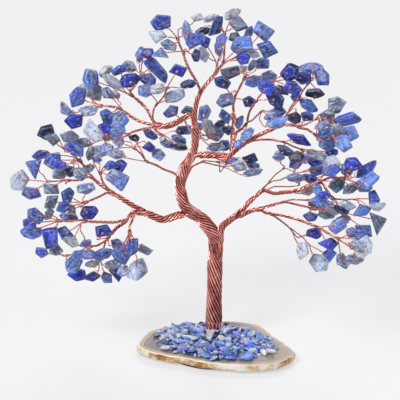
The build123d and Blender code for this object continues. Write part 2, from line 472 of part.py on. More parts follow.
def set_ways(limbs):
    """The way of each limb, and where each twig starts."""
    foot = limbs["trunk"].route[0]
    limbs["trunk"].way = [(foot[0], foot[1], SLICE_TOP)] + limbs["trunk"].route
    for limb in limbs.values():
        end = limb.way[-1]
        limb.heading = unit(minus(end, limb.way[-2]))
        if limb.bough == "stem":
            for child in limb.limbs:
                if child.bough == "stem":
                    lead = lead_of(end, limb.heading, child.radius, child.route[0])
                    child.way = [end, lead] + child.route
                else:
                    child.way = [plus(end, limb.heading, -0.5 * limb.radius)] + child.route
            continue
        set_fork(limb, end)


def set_fork(limb, end):
    side, other = square_to(limb.heading)
    parts = [(minus(child.route[0], end), child.radius, child) for child in limb.limbs]
    parts += [(minus(stone.centre, end), PAIR_RADIUS, stone) for stone in limb.stones]
    parts.sort(key=lambda part: math.atan2(dot(part[0], other), dot(part[0], side)))
    places = fork_places([part[1] for part in parts])
    pull = [0.0, 0.0]
    for (away, radius, part), place in zip(parts, places):
        u, v = dot(away, side), dot(away, other)
        pull[0] += u * place[0] + v * place[1]
        pull[1] += v * place[0] - u * place[1]
    turn = math.degrees(math.atan2(pull[1], pull[0])) if len(parts) > 1 else 0.0
    first, second = swung(side, other, turn), swung(other, side, -turn)
    for (away, radius, part), place in zip(parts, places):
        part.start = plus(plus(end, first, place[0]), second, place[1])
        if hasattr(part, "route"):
            lead = lead_of(part.start, limb.heading, radius, part.route[0])
            part.way = [part.start, lead] + part.route
        else:
            part.lead = plus(part.start, limb.heading, TWIG_LEAD + 0.3 * radius)


# Stones: a drilled chip is a flat many-sided gem with a bevel on each face
def local(stone, place):
    spot = (0.0, 0.0, 0.0)
    for axis, amount in zip(stone.axes, place):
        spot = plus(spot, axis, amount)
    return spot


def fitted(corners, length, width):
    """An outline stretched to a length and a width."""
    for k, size in ((0, length), (1, width)):
        low = min(corner[k] for corner in corners)
        high = max(corner[k] for corner in corners)
        stretch = size / (high - low)
        middle = (low + high) / 2
        for i, corner in enumerate(corners):
            moved = list(corner)
            moved[k] = (corner[k] - middle) * stretch
            corners[i] = tuple(moved)
    return corners


def uneven_corners(sides, chance):
    turn = chance.uniform(0, 2 * math.pi)
    corners = []
    for i in range(sides):
        angle = turn + 2 * math.pi * (i + chance.uniform(-0.2, 0.2)) / sides
        reach = chance.uniform(0.88, 1.1)
        corners.append((reach * math.cos(angle), reach * math.sin(angle)))
    return corners


def make_stone(limb, row, number):
    across, up, away, length, slim, turn, sides = row
    chance = random.Random(number)
    stone = SimpleNamespace(limb=limb, number=number)
    stone.centre = sight(across, up, limb.depth + away)
    stone.seen = stone.centre
    stone.toward = unit(minus(VIEWER, stone.centre))
    right = unit(cross((0.0, 0.0, 1.0), stone.toward))
    long_axis = swung(right, cross(stone.toward, right), turn)
    wide_axis = cross(stone.toward, long_axis)
    long_size = length * STONE_LENGTH
    wide_size = max(slim, NARROWEST_SHARE) * long_size
    stone.half = STONE_THICKNESS * (0.6 + 0.4 * length) * chance.uniform(0.8, 1.15) / 2
    tilt = chance.uniform(-24, 24)
    if slim < NARROWEST_SHARE:
        side = 1 if chance.random() < 0.75 else -1
        tilt = side * math.degrees(math.acos((slim - 0.16) / NARROWEST_SHARE))
    wide_axis, face = swung(wide_axis, stone.toward, tilt), swung(stone.toward, wide_axis, -tilt)
    lean = chance.uniform(-20, 20)
    long_axis, face = swung(long_axis, face, lean), swung(face, long_axis, -lean)
    stone.axes = (long_axis, wide_axis, face)
    stone.corners = fitted(uneven_corners(sides, chance), long_size, wide_size)
    stone.shrinks = (chance.uniform(0.6, 0.78), chance.uniform(0.55, 0.75))
    add_stone_bounds(stone)
    return stone


def add_stone_bounds(stone):
    stone.points = []
    stone.planes = []
    for shrink, lift in ((1.0, 0.0), (stone.shrinks[0], 1.0), (stone.shrinks[1], -1.0)):
        for x, y in stone.corners:
            stone.points.append(local(stone, (x * shrink, y * shrink, lift * stone.half)))
    for lift, shrink in ((1.0, stone.shrinks[0]), (-1.0, stone.shrinks[1])):
        stone.planes.append((local(stone, (0.0, 0.0, lift)), stone.half, True))
        for i, (x, y) in enumerate(stone.corners):
            x0, y0 = stone.corners[i - 1]
            run = (x - x0, y - y0, 0.0)
            normal = unit(cross(run, (x0 * (shrink - 1), y0 * (shrink - 1), lift * stone.half)))
            if normal[0] * x + normal[1] * y < 0:
                normal = minus((0.0, 0.0, 0.0), normal)
            stone.planes.append((local(stone, normal), normal[0] * x + normal[1] * y, False))
    stone.reach = max(size_of(point) for point in stone.points)


def outside(stone, point, enough, legs):
    """How far a point lies clear of a stone, with room for the wire legs on its two faces."""
    away = minus(point, stone.centre)
    best = -stone.reach
    for normal, distance, flat in stone.planes:
        best = max(best, dot(away, normal) - distance - (legs if flat else 0.0))
        if best > enough:
            break
    return best


# Settling: stones slide along the line of sight until none touches another or a limb
def seen_apart(stone, point):
    return size_of(flattened(minus(point, stone.seen), stone.toward))


def limb_beads(limbs):
    beads = []
    for limb in limbs.values():
        for a, b in zip(limb.way, limb.way[1:]):
            steps = max(1, int(size_of(minus(b, a)) / STONE_LENGTH * 8))
            beads += [(toward(a, b, i / steps), limb.radius) for i in range(steps + 1)]
    return beads


def lacking_room(one, other):
    """The axis on which two stones part with the least slide, and how much room lacks on it."""
    apart = minus(other.centre, one.centre)
    best = None
    faces = (one.axes[2], other.axes[2])
    for axis in faces + (unit(apart), unit(flattened(apart, faces[0])), unit(flattened(apart, faces[1]))):
        if dot(axis, apart) < 0:
            axis = minus((0.0, 0.0, 0.0), axis)
        near = max(dot(point, axis) for point in one.points)
        far = dot(apart, axis) + min(dot(point, axis) for point in other.points)
        gap = far - near
        facing = max(abs(dot(axis, face)) for face in faces)
        lack = STONE_CLEARANCE + LEG_ROOM * facing ** 4 - gap
        if lack <= 0:
            return None
        cost = lack / max(abs(dot(axis, one.toward)), 0.05)
        if best is None or cost < best[0]:
            best = (cost, lack, axis)
    return best


def part_stones(one, other):
    apart = minus(other.centre, one.centre)
    if size_of(apart) > one.reach + other.reach + STONE_CLEARANCE:
        return 0.0
    best = lacking_room(one, other)
    if best is None:
        return 0.0
    cost, lack, axis = best
    slide = min(cost, STONE_THICKNESS / 2) / 2 * (1 if dot(apart, one.toward) > 0 else -1)
    side = flattened(axis, one.toward)
    nudge = min(lack, STONE_THICKNESS / 3) * 0.12
    one.centre = plus(plus(one.centre, one.toward, -slide), side, -nudge)
    other.centre = plus(plus(other.centre, other.toward, slide), side, nudge)
    return lack


def clear_limbs(stone, beads):
    worst = 0.0
    for point, radius in beads:
        away = minus(stone.centre, point)
        if size_of(away) > stone.reach + radius + 2 * LEG_ROOM:
            continue
        lack = STONE_CLEARANCE * 1.3 + radius - outside(stone, point, radius + 2 * LEG_ROOM, LEG_ROOM)
        if lack > 0:
            slide = 0.6 * min(lack, LEG_ROOM) * (1 if dot(away, stone.toward) > 0 else -1)
            stone.centre = plus(stone.centre, stone.toward, slide)
            worst = max(worst, lack)
    end = stone.limb.way[-1]
    lack = END_ROOM + stone.limb.radius - outside(stone, end, STONE_LENGTH, LEG_ROOM)
    if lack > 0:
        stone.centre = plus(stone.centre, unit(minus(stone.centre, end)), 0.6 * min(lack, WIRE_DIAMETER))
        worst = max(worst, 0.2 * lack)
    drift = minus(stone.centre, stone.seen)
    along = dot(drift, stone.toward)
    side = flattened(drift, stone.toward)
    if size_of(side) > STONE_DRIFT:
        stone.centre = plus(plus(stone.seen, stone.toward, along), unit(side), STONE_DRIFT)
    return worst


def settle(stones, limbs):
    beads = limb_beads(limbs)
    pairs = []
    for i, one in enumerate(stones):
        reach = one.reach + LEG_ROOM
        near = [other for other in stones[:i] if seen_apart(one, other.seen) < reach + other.reach]
        pairs += [(one, other) for other in near]
        one.beads = [bead for bead in beads if seen_apart(one, bead[0]) < reach + bead[1]]
    for _ in range(160):
        worst = max(part_stones(one, other) for one, other in pairs)
        worst = max(worst, max(clear_limbs(stone, stone.beads) for stone in stones))
        if worst < WIRE_CLEARANCE / 3:
            break


# Twigs: each pair of wire ends finds a clear way from its fork to the rim of its stone
def rim_reach(stone, heading):
    best = stone.reach * 2
    for i, (x, y) in enumerate(stone.corners):
        x0, y0 = stone.corners[i - 1]
        run = (x - x0, y - y0)
        down = run[0] * heading[1] - run[1] * heading[0]
        if down:
            far = (run[0] * y0 - run[1] * x0) / down
            best = far if 0 < far < best else best
    return best


def bend_room(way, radius):
    """Whether each corner of a way leaves room to bend a bundle of this radius."""
    for before, corner, after in zip(way, way[1:], way[2:]):
        back, ahead = minus(corner, before), minus(after, corner)
        shorter = min(size_of(back), size_of(ahead))
        turn = dot(unit(back), unit(ahead))
        half = math.tan(math.acos(max(-1.0, min(1.0, turn))) / 2)
        if turn < -0.35 or 0.49 * shorter < half * radius * 1.08:
            return False
    return True


def rounded(way, bend):
    """A way as points, with each corner drawn as the arc that bends it."""
    points = [way[0]]
    for before, corner, after in zip(way, way[1:], way[2:]):
        back, ahead = minus(before, corner), minus(after, corner)
        shorter = min(size_of(back), size_of(ahead))
        back, ahead = unit(back), unit(ahead)
        turn = math.acos(max(-1.0, min(1.0, -dot(back, ahead))))
        if turn < MILDEST_TURN:
            continue
        half = math.tan(turn / 2)
        cut = min(bend * half, 0.49 * shorter)
        radius = cut / half
        middle = plus(corner, unit(plus(back, ahead)), radius / math.cos(turn / 2))
        across = unit(minus(plus(corner, back, cut), middle))
        along = minus((0.0, 0.0, 0.0), back)
        steps = 4 if turn > 0.5 else 2
        for i in range(steps + 1):
            angle = turn * i / steps
            reach = plus(tuple(c * math.cos(angle) for c in across), along, math.sin(angle))
            points.append(plus(middle, reach, radius))
    return points + [way[-1]]


def runs_of(way, radius, bend):
    points = rounded(way, bend)
    return [(a, b, radius) for a, b in zip(points, points[1:])]


def wire_gap(point, own, near):
    best = STONE_LENGTH
    px, py, pz = point
    for (ax, ay, az), (bx, by, bz), radius in near:
        rx, ry, rz = bx - ax, by - ay, bz - az
        ax, ay, az = px - ax, py - ay, pz - az
        share = (ax * rx + ay * ry + az * rz) / (rx * rx + ry * ry + rz * rz)
        share = 0.0 if share < 0.0 else 1.0 if share > 1.0 else share
        gap = math.dist((ax, ay, az), (rx * share, ry * share, rz * share)) - radius - own
        best = gap if gap < best else best
    return best


def way_gap(way, stone, blocks, near, behind, enough):
    """The least gap along a twig, or the first one found to be below enough."""
    worst = STONE_LENGTH
    heading = unit(minus(way[1], way[0]))
    points = rounded(way, TWIG_BEND)
    for a, b in zip(points, points[1:]):
        steps = max(1, int(size_of(minus(b, a)) / STONE_LENGTH * 18))
        for i in range(1, steps + 1):
            point = toward(a, b, i / steps)
            from_fork = size_of(minus(point, way[0]))
            if from_fork < TWIG_LEAD / 2:
                continue
            for other in blocks:
                if size_of(minus(point, other.centre)) < other.reach + 2 * LEG_ROOM:
                    gap = outside(other, point, LEG_ROOM, LEG_ROOM * 0.7) - PAIR_RADIUS
                    worst = min(worst, gap - WIRE_CLEARANCE * 1.3)
            if size_of(minus(point, way[-1])) > 2 * TWIG_LEAD:
                worst = min(worst, outside(stone, point, LEG_ROOM, LEG_ROOM / 2) - PAIR_RADIUS)
            needed = WIRE_CLEARANCE * (0.1 if from_fork < 4 * TWIG_LEAD else 0.8)
            worst = min(worst, wire_gap(point, PAIR_RADIUS, near) - needed)
            if from_fork > TWIG_LEAD and dot(minus(point, way[0]), heading) < PAIR_RADIUS:
                worst = min(worst, wire_gap(point, PAIR_RADIUS, behind) - needed)
            if worst < enough:
                return worst
    return worst


def loop_legs(stone, heading, rim):
    """The two legs of the wire loop that holds a stone: from its rim over each face to its hole."""
    outward = local(stone, heading + (0.0,))
    face = stone.axes[2]
    lift = stone.half + LEG_LIFT
    root = plus(stone.centre, outward, rim + RIM_GAP + WIRE_DIAMETER)
    hole = plus(stone.centre, outward, rim * HOLE_SHARE)
    legs = []
    for side, shrink in ((1.0, stone.shrinks[0]), (-1.0, stone.shrinks[1])):
        leave = plus(root, face, side * WIRE_RADIUS)
        brow = plus(plus(stone.centre, outward, rim * shrink + WIRE_RADIUS), face, side * lift)
        legs.append([leave, brow, plus(hole, face, side * lift)])
    return legs


def leg_gap(legs, near):
    worst = STONE_LENGTH
    for leg in legs:
        for a, b in zip(leg, leg[1:]):
            for i in range(8):
                worst = min(worst, wire_gap(toward(a, b, i / 7), WIRE_RADIUS, near) - WIRE_CLEARANCE)
    return worst


def twig_ways(stone):
    """Possible ways for a twig, the plainest first, with the side of the stone they come to."""
    home = minus(stone.lead, stone.centre)
    bearing = math.degrees(math.atan2(dot(home, stone.axes[1]), dot(home, stone.axes[0])))
    swings = (0, 25, -25, 50, -50, 75, -75, 105, -105, 140, -140, 180)
    for stretch, swing in [(stretch, swing) for stretch in (1.0, 2.4) for swing in swings]:
        lead = toward(stone.start, stone.lead, stretch)
        angle = math.radians(bearing + swing)
        heading = (math.cos(angle), math.sin(angle))
        rim = rim_reach(stone, heading)
        outward = local(stone, heading + (0.0,))
        end = plus(stone.centre, outward, rim + RIM_GAP)
        arrive = plus(end, outward, TWIG_LEAD * 1.25)
        run = minus(arrive, lead)
        side, other = square_to(unit(run))
        yield [stone.start, lead, arrive, end], heading, rim
        for bow in (0.18, 0.35, 0.6):
            for spin in range(6):
                offset = swung(side, other, spin * 60)
                knee = plus(toward(lead, arrive, 0.5), offset, bow * max(size_of(run), STONE_THICKNESS))
                yield [stone.start, lead, knee, arrive, end], heading, rim


def best_twig(stone, stones, runs):
    """The first clear way for a twig, or else the clearest one."""
    middle = toward(stone.start, stone.centre, 0.5)
    room = size_of(minus(stone.centre, stone.start)) / 2 + STONE_LENGTH
    near = [
        run for run in runs
        if size_of(minus(toward(run[0], run[1], 0.5), middle)) < room + size_of(minus(run[1], run[0])) / 2
        and run not in stone.limb.runs
    ]
    blocks = [s for s in stones if s is not stone and size_of(minus(s.centre, middle)) < room + s.reach]
    best = None
    for way, heading, rim in twig_ways(stone):
        if not bend_room(way, PAIR_RADIUS):
            continue
        gap = leg_gap(loop_legs(stone, heading, rim), near + stone.limb.runs)
        if best is None or gap > best[0]:
            enough = min(0.0, best[0]) if best else -STONE_LENGTH
            gap = min(gap, way_gap(way, stone, blocks, near, stone.limb.runs, enough))
            if best is None or gap > best[0]:
                best = (gap, way, heading, rim)
        if best[0] >= 0:
            break
    return best


def route_twigs(stones, limbs):
    """Each limb's twigs in turn, in whichever order leaves them all clear."""
    runs = []
    for limb in limbs.values():
        limb.runs = runs_of(limb.way, limb.radius, BEND_SHARE * limb.radius)
        runs += limb.runs
    for limb in limbs.values():
        best = None
        for first in range(max(1, len(limb.stones))):
            made = []
            choices = []
            for stone in limb.stones[first:] + limb.stones[:first]:
                choice = best_twig(stone, stones, runs + made)
                legs = loop_legs(stone, choice[2], choice[3])
                choices.append((stone, choice, legs))
                made += runs_of(choice[1], PAIR_RADIUS, TWIG_BEND)
                made += [(a, b, WIRE_RADIUS) for leg in legs for a, b in zip(leg, leg[1:])]
            worst = min([choice[0] for stone, choice, legs in choices] or [0.0])
            if best is None or worst > best[0]:
                best = (worst, choices, made)
            if worst >= 0:
                break
        runs += best[2]
        for stone, choice, legs in best[1]:
            stone.gap, stone.way, stone.heading, stone.rim = choice
            stone.legs = legs


def grow_tree():
    limbs = grow_limbs()
    stones = []
    for limb in limbs.values():
        for row in limb.rows:
            stone = make_stone(limb, row, len(stones))
            limb.stones.append(stone)
            stones.append(stone)
    set_ways(limbs)
    settle(stones, limbs)
    set_ways(limbs)
    route_twigs(stones, limbs)
    return limbs, stones


# Solids
def wire_path(way, bend):
    """Straight runs joined by arcs that touch them."""
    edges = []
    last = way[0]
    for before, corner, after in zip(way, way[1:], way[2:]):
        back, ahead = unit(minus(before, corner)), unit(minus(after, corner))
        turn = math.acos(max(-1.0, min(1.0, -dot(back, ahead))))
        if turn < MILDEST_TURN:
            continue
        half = math.tan(turn / 2)
        shorter = min(size_of(minus(before, corner)), size_of(minus(after, corner)))
        cut = min(bend * half, 0.49 * shorter)
        first, second = plus(corner, back, cut), plus(corner, ahead, cut)
        inward = unit(plus(back, ahead))
        depth = cut / half * (1 / math.cos(turn / 2) - 1)
        edges.append(Edge.make_line(last, first))
        edges.append(Edge.make_three_point_arc(first, plus(corner, inward, depth), second))
        last = second
    edges.append(Edge.make_line(last, way[-1]))
    return Wire(edges)


def tube(way, radius, bend):
    start = Plane(origin=way[0], z_dir=minus(way[1], way[0]))
    return Solid.sweep(Face(Wire(Edge.make_circle(radius, start))), wire_path(way, bend))


def gem(layers, place):
    """A solid with flat faces between outlines that are shrunk copies of one another."""
    rings = [[place((x * shrink, y * shrink, z)) for x, y in corners] for corners, shrink, z in layers]
    faces = [Face(Wire.make_polygon(rings[0])), Face(Wire.make_polygon(rings[-1]))]
    for lower, upper in zip(rings, rings[1:]):
        for i in range(len(lower)):
            faces.append(Face(Wire.make_polygon([lower[i - 1], lower[i], upper[i], upper[i - 1]])))
    return Solid(Shell(faces))


def largest(shape):
    return max(shape.solids(), key=lambda solid: solid.volume)


def drilled_stone(stone):
    layers = [
        (stone.corners, stone.shrinks[1], -stone.half),
        (stone.corners, 1.0, 0.0),
        (stone.corners, stone.shrinks[0], stone.half),
    ]
    chip = gem(layers, lambda place: plus(stone.centre, local(stone, place)))
    outward = local(stone, stone.heading + (0.0,))
    middle = plus(stone.centre, outward, stone.rim * HOLE_SHARE)
    start = Plane(origin=plus(middle, stone.axes[2], -2 * stone.half), z_dir=stone.axes[2])
    drill = Solid.make_cylinder(HOLE_RADIUS, stone.half * 4, start)
    return largest(chip - drill)


def twig(stone):
    """A twisted pair of wire ends with the loop that holds the stone."""
    stalk = tube(stone.way, PAIR_RADIUS, TWIG_BEND)
    loop = tube(stone.legs[0] + stone.legs[1][::-1], WIRE_RADIUS, BEND_SHARE * WIRE_RADIUS / 2)
    return largest(stalk + loop)


def slice_corners(length, width):
    return [(x / 100 * length, y / 100 * width) for x, y in SLICE_EDGE_SHARES]


def agate_slice():
    corners = slice_corners(SLICE_LENGTH, SLICE_WIDTH)
    layers = [
        (corners, 0.91, SLICE_BOTTOM),
        (corners, 1.0, SLICE_BOTTOM + RIND_HEIGHT),
        (corners, 0.985, SLICE_TOP),
    ]
    return gem(layers, lambda place: place)


def felt_pad():
    return Solid.make_cylinder(PAD_DIAMETER / 2, PAD_THICKNESS)


def glue_bed(trunk):
    corners = slice_corners(SLICE_LENGTH * GLUE_SHARE, SLICE_WIDTH * GLUE_SHARE)
    layers = [(corners, 1.0, SLICE_TOP), (corners, 0.97, GLUE_TOP)]
    bed = gem(layers, lambda place: (place[0], place[1] + GLUE_SETBACK, place[2]))
    start = Plane(origin=trunk.way[0], z_dir=(0.0, 0.0, 1.0))
    return largest(bed - Solid.make_cylinder(trunk.radius + WIRE_CLEARANCE, GLUE_THICKNESS * 2, start))


def fragments(trunk):
    """Small flakes side by side in the glue, in a spiral from its middle, tallest by the trunk."""
    found = []
    middle = (trunk.way[0][0], trunk.way[0][1], GLUE_TOP)
    for i in range(FRAGMENT_COUNT):
        chance = random.Random(1000 + i)
        reach = math.sqrt((i + 0.5) / FRAGMENT_COUNT) * 0.44 * GLUE_SHARE * 1.22
        angle = i * math.pi * (3 - math.sqrt(5))
        x = reach * math.cos(angle) * SLICE_LENGTH * 0.98
        y = reach * math.sin(angle) * SLICE_WIDTH * 1.02 - x * 0.22 + GLUE_SETBACK
        centre = (x, y, GLUE_TOP)
        nearness = FRAGMENT_RING / size_of(minus(centre, middle))
        if nearness > 1:
            continue
        size = FRAGMENT_LENGTH * chance.uniform(0.72, 1.0)
        outline = uneven_corners(chance.choice((4, 5, 6)), chance)
        corners = fitted(outline, size, size * chance.uniform(0.6, 0.95))
        turn = chance.uniform(0, 180)
        first = swung((1.0, 0.0, 0.0), (0.0, 1.0, 0.0), turn)
        second = swung((0.0, 1.0, 0.0), (1.0, 0.0, 0.0), -turn)
        flake = SimpleNamespace(axes=(first, second, (0.0, 0.0, 1.0)))
        height = FRAGMENT_THICKNESS * chance.uniform(0.55, 1.25) * (1 + 0.6 * nearness**2)
        layers = [
            (corners, 0.85, 0.0),
            (corners, 1.0, height * 0.4),
            (corners, chance.uniform(0.3, 0.7), height),
        ]
        found.append(gem(layers, lambda place: plus(centre, local(flake, place))))
    return found


def root_wires(trunk):
    """Wire ends that come down beside the trunk and are splayed out on the glue."""
    roots = []
    foot = trunk.way[0]
    low = GLUE_TOP + PAIR_RADIUS + WIRE_CLEARANCE
    near = trunk.radius + PAIR_RADIUS + WIRE_CLEARANCE
    for i in range(ROOT_COUNT):
        chance = random.Random(2000 + i)
        angle = 2 * math.pi * (i + chance.uniform(-0.15, 0.15)) / ROOT_COUNT
        rise = ROOT_RISE * chance.uniform(0.8, 1.1)
        outs = (near, near, near + ROOT_REACH / 2, near + ROOT_REACH)
        heights = (low + rise, low + rise * 0.45, low, low)
        way = []
        for out, height in zip(outs, heights):
            way.append((foot[0] + out * math.cos(angle), foot[1] + out * math.sin(angle), height))
        roots.append(tube(way, PAIR_RADIUS, TWIG_BEND))
    return roots


def add_limb_solids(limbs):
    """Each limb as a bent rod; a bough is trimmed to sit against the stem it leaves."""
    for limb in limbs.values():
        limb.solid = tube(limb.way, limb.radius, BEND_SHARE * limb.radius)
    for limb in limbs.values():
        if limb.bough == "stem":
            seat_boughs(limb)


def seat_boughs(limb):
    seats = [limb] + [child for child in limb.limbs if child.bough == "stem"]
    for child in limb.limbs:
        if child.bough != "stem":
            for seat in seats:
                child.solid = largest(child.solid - seat.solid)
            seats.append(child)


def export(shapes, name):
    export_step(Compound(children=list(shapes)), f"parts/{name}.step")


# Base
limbs, stones = grow_tree()
trunk = limbs["trunk"]
export([felt_pad()], "felt_pad")
export([agate_slice()], "agate_slice")
export([glue_bed(trunk)], "glue_bed")
export(fragments(trunk), "ground_stones")

# Tree
add_limb_solids(limbs)
export(root_wires(trunk), "root_wires")
export([trunk.solid], "trunk")
export([limb.solid for limb in limbs.values() if limb.bough == "stem" and limb is not trunk], "stem")
for bough in BOUGH_SHARES:
    members = [limb for limb in limbs.values() if limb.bough == bough]
    own = [stone for limb in members for stone in limb.stones]
    export([members[0].solid], f"{bough}_bough")
    export([limb.solid for limb in members[1:]], f"{bough}_branchlets")
    export([twig(stone) for stone in own], f"{bough}_twigs")
    export([drilled_stone(stone) for stone in own], f"{bough}_stones")
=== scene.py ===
import json
import math
import random
from types import SimpleNamespace

import bmesh
import bpy
import numpy as np
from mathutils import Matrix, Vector

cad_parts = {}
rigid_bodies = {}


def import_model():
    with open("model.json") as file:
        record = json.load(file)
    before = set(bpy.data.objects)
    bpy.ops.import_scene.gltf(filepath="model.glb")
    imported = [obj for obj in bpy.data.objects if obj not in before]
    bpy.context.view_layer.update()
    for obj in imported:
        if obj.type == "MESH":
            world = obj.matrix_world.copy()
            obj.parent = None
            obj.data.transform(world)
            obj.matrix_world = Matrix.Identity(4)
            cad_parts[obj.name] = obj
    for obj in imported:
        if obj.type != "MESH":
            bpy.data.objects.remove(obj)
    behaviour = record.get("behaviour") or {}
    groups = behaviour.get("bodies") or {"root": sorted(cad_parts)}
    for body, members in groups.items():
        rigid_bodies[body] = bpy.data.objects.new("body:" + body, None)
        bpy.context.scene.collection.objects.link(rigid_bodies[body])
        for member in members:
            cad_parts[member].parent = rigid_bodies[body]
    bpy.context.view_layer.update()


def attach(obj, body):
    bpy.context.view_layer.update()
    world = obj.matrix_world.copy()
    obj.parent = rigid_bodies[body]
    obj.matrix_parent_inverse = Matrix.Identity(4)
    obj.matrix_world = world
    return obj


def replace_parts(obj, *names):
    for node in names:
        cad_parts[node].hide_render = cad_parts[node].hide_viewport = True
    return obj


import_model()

# Camera, light and table top
# The tree stands on a plain pale table top. The camera is 0.9 m away and looks down on it at 17
# degrees, a little left of the trunk. Soft lamps and an even world light it at a plain level.
# Lengths are in millimetres here and in every section, apart from those of lamps and table top.
MM = 0.001
TREE_WIDTH = 178.0
TREE_HEIGHT = 166.0
VIEW_DISTANCE = 900.0
VIEW_WIDTH = 188.0
VIEW_RISE_DEGREES = 17.0
VIEW_CENTRE_SHARES = (-0.0396, 0.4326)
SENSOR_WIDTH = 36.0
TABLE_RADIUS = 1.4
TABLE_GLOW_SHARE = 0.55
# Each lamp: its name and place, the point it is turned to, its size, power and colour
LAMPS = [
    ("key_lamp", (-1.15, -1.45, 1.75), (0.0, 0.0, 0.07), (0.9, 0.9), 46.0, (1.0, 0.99, 0.97)),
    ("side_lamp", (2.1, -1.1, 0.9), (0.0, 0.0, 0.08), (0.7, 1.4), 12.0, (0.97, 0.98, 1.0)),
    ("back_lamp", (0.4, 1.9, 1.8), (0.0, 0.0, 0.08), (1.6, 0.8), 20.0, (1.0, 1.0, 1.0)),
]

VIEW_SINE = math.sin(math.radians(VIEW_RISE_DEGREES))
VIEW_COSINE = math.cos(math.radians(VIEW_RISE_DEGREES))
VIEW_HEIGHT = VIEW_CENTRE_SHARES[1] * TREE_HEIGHT
VIEWER = (
    VIEW_CENTRE_SHARES[0] * TREE_WIDTH,
    VIEW_HEIGHT * VIEW_SINE - VIEW_DISTANCE * VIEW_COSINE,
    VIEW_HEIGHT * VIEW_COSINE + VIEW_DISTANCE * VIEW_SINE,
)

camera_data = bpy.data.cameras.new("camera")
camera_data.sensor_width = SENSOR_WIDTH
camera_data.lens = SENSOR_WIDTH * VIEW_DISTANCE / VIEW_WIDTH
camera_data.clip_start = 0.05
camera = bpy.data.objects.new("camera", camera_data)
camera.location = [c * MM for c in VIEWER]
camera.rotation_euler = (math.radians(90.0 - VIEW_RISE_DEGREES), 0.0, 0.0)
bpy.context.collection.objects.link(camera)
bpy.context.scene.camera = camera
bpy.context.scene.view_settings.view_transform = "Standard"

for name, place, aim, size, power, colour in LAMPS:
    lamp_data = bpy.data.lights.new(name, "AREA")
    lamp_data.shape = "RECTANGLE"
    lamp_data.size, lamp_data.size_y = size
    lamp_data.energy = power
    lamp_data.color = colour
    lamp = bpy.data.objects.new(name, lamp_data)
    lamp.location = place
    lamp.rotation_euler = (Vector(aim) - Vector(place)).to_track_quat("-Z", "Y").to_euler()
    bpy.context.collection.objects.link(lamp)


def set_plugs(node, **values):
    """A node's own plugs set to plain values; a name's underscores stand for blanks."""
    for plug, value in values.items():
        node.inputs[plug.replace("_", " ")].default_value = value


def new_material(name):
    """A material with one plain surface, and the node tree and surface node to finish it with."""
    made = bpy.data.materials.new(name)
    made.use_nodes = True
    made.node_tree.nodes.clear()
    output = made.node_tree.nodes.new("ShaderNodeOutputMaterial")
    skin = made.node_tree.nodes.new("ShaderNodeBsdfPrincipled")
    made.node_tree.links.new(skin.outputs[0], output.inputs["Surface"])
    return made, made.node_tree, skin


def fed(tree, node, plug, value):
    """A node's plug linked to another, or set to a plain value."""
    if isinstance(value, bpy.types.NodeSocket):
        tree.links.new(value, node.inputs[plug])
    else:
        node.inputs[plug].default_value = value


def reckoned(tree, operation, first, second, third=0.0):
    """A sum of two or three values, each a plug or a number."""
    node = tree.nodes.new("ShaderNodeMath")
    node.operation = operation
    for plug, value in enumerate((first, second, third)):
        fed(tree, node, plug, value)
    return node.outputs[0]


def blended(tree, share, first, second):
    """One surface or light laid over another by a share."""
    node = tree.nodes.new("ShaderNodeMixShader")
    for plug, value in enumerate((share, first, second)):
        tree.links.new(value, node.inputs[plug])
    return node.outputs[0]


def seen_white(tree):
    """The share of rays that show plain white: those of the camera, and of glass and gloss."""
    path = tree.nodes.new("ShaderNodeLightPath").outputs
    clear = reckoned(tree, "MAXIMUM", path["Is Camera Ray"], path["Is Transmission Ray"])
    return reckoned(tree, "MAXIMUM", clear, path["Is Glossy Ray"])


world = bpy.data.worlds.new("world")
bpy.context.scene.world = world
world.use_nodes = True
tree = world.node_tree
tree.nodes.clear()
even = tree.nodes.new("ShaderNodeBackground")
set_plugs(even, Color=(0.80, 0.84, 0.90, 1.0), Strength=0.20)
plain = tree.nodes.new("ShaderNodeBackground")
set_plugs(plain, Color=(1.0, 1.0, 1.0, 1.0), Strength=1.0)
sky = blended(tree, seen_white(tree), even.outputs[0], plain.outputs[0])
tree.links.new(sky, tree.nodes.new("ShaderNodeOutputWorld").inputs["Surface"])

bpy.ops.mesh.primitive_circle_add(vertices=96, radius=TABLE_RADIUS, fill_type="NGON")
table_top = bpy.context.object
table_top.name = "table_top"
table_pale, tree, surface = new_material("table_pale")
set_plugs(surface, Base_Color=(0.86, 0.86, 0.87, 1.0), Roughness=0.38)
glow = tree.nodes.new("ShaderNodeEmission")
set_plugs(glow, Color=(0.96, 0.96, 0.97, 1.0))
share = reckoned(tree, "MULTIPLY", seen_white(tree), TABLE_GLOW_SHARE)
pale = blended(tree, share, surface.outputs[0], glow.outputs[0])
tree.links.new(pale, tree.nodes["Material Output"].inputs["Surface"])
table_top.data.materials.append(table_pale)


# Agate slice
# An irregular slab sawn across a nodule and polished: a grey-mauve face with a cream band and a
# white line just inside its edge, and the nodule's rough pale rind with rusty patches round it.
# A pad lifts it off the table.
SLICE_LENGTH = 76.0
SLICE_WIDTH = 60.0
SLICE_THICKNESS = 3.4
SLICE_BOTTOM = 1.2
SLICE_TOP = SLICE_BOTTOM + SLICE_THICKNESS
SLICE_EDGE_STEPS = 16
RIND_WOBBLE = 0.40
RIND_LUMPS = 0.42
RIND_BITES = 1.15
RIND_RISE = 0.16
BANDS_REACH = 20.0
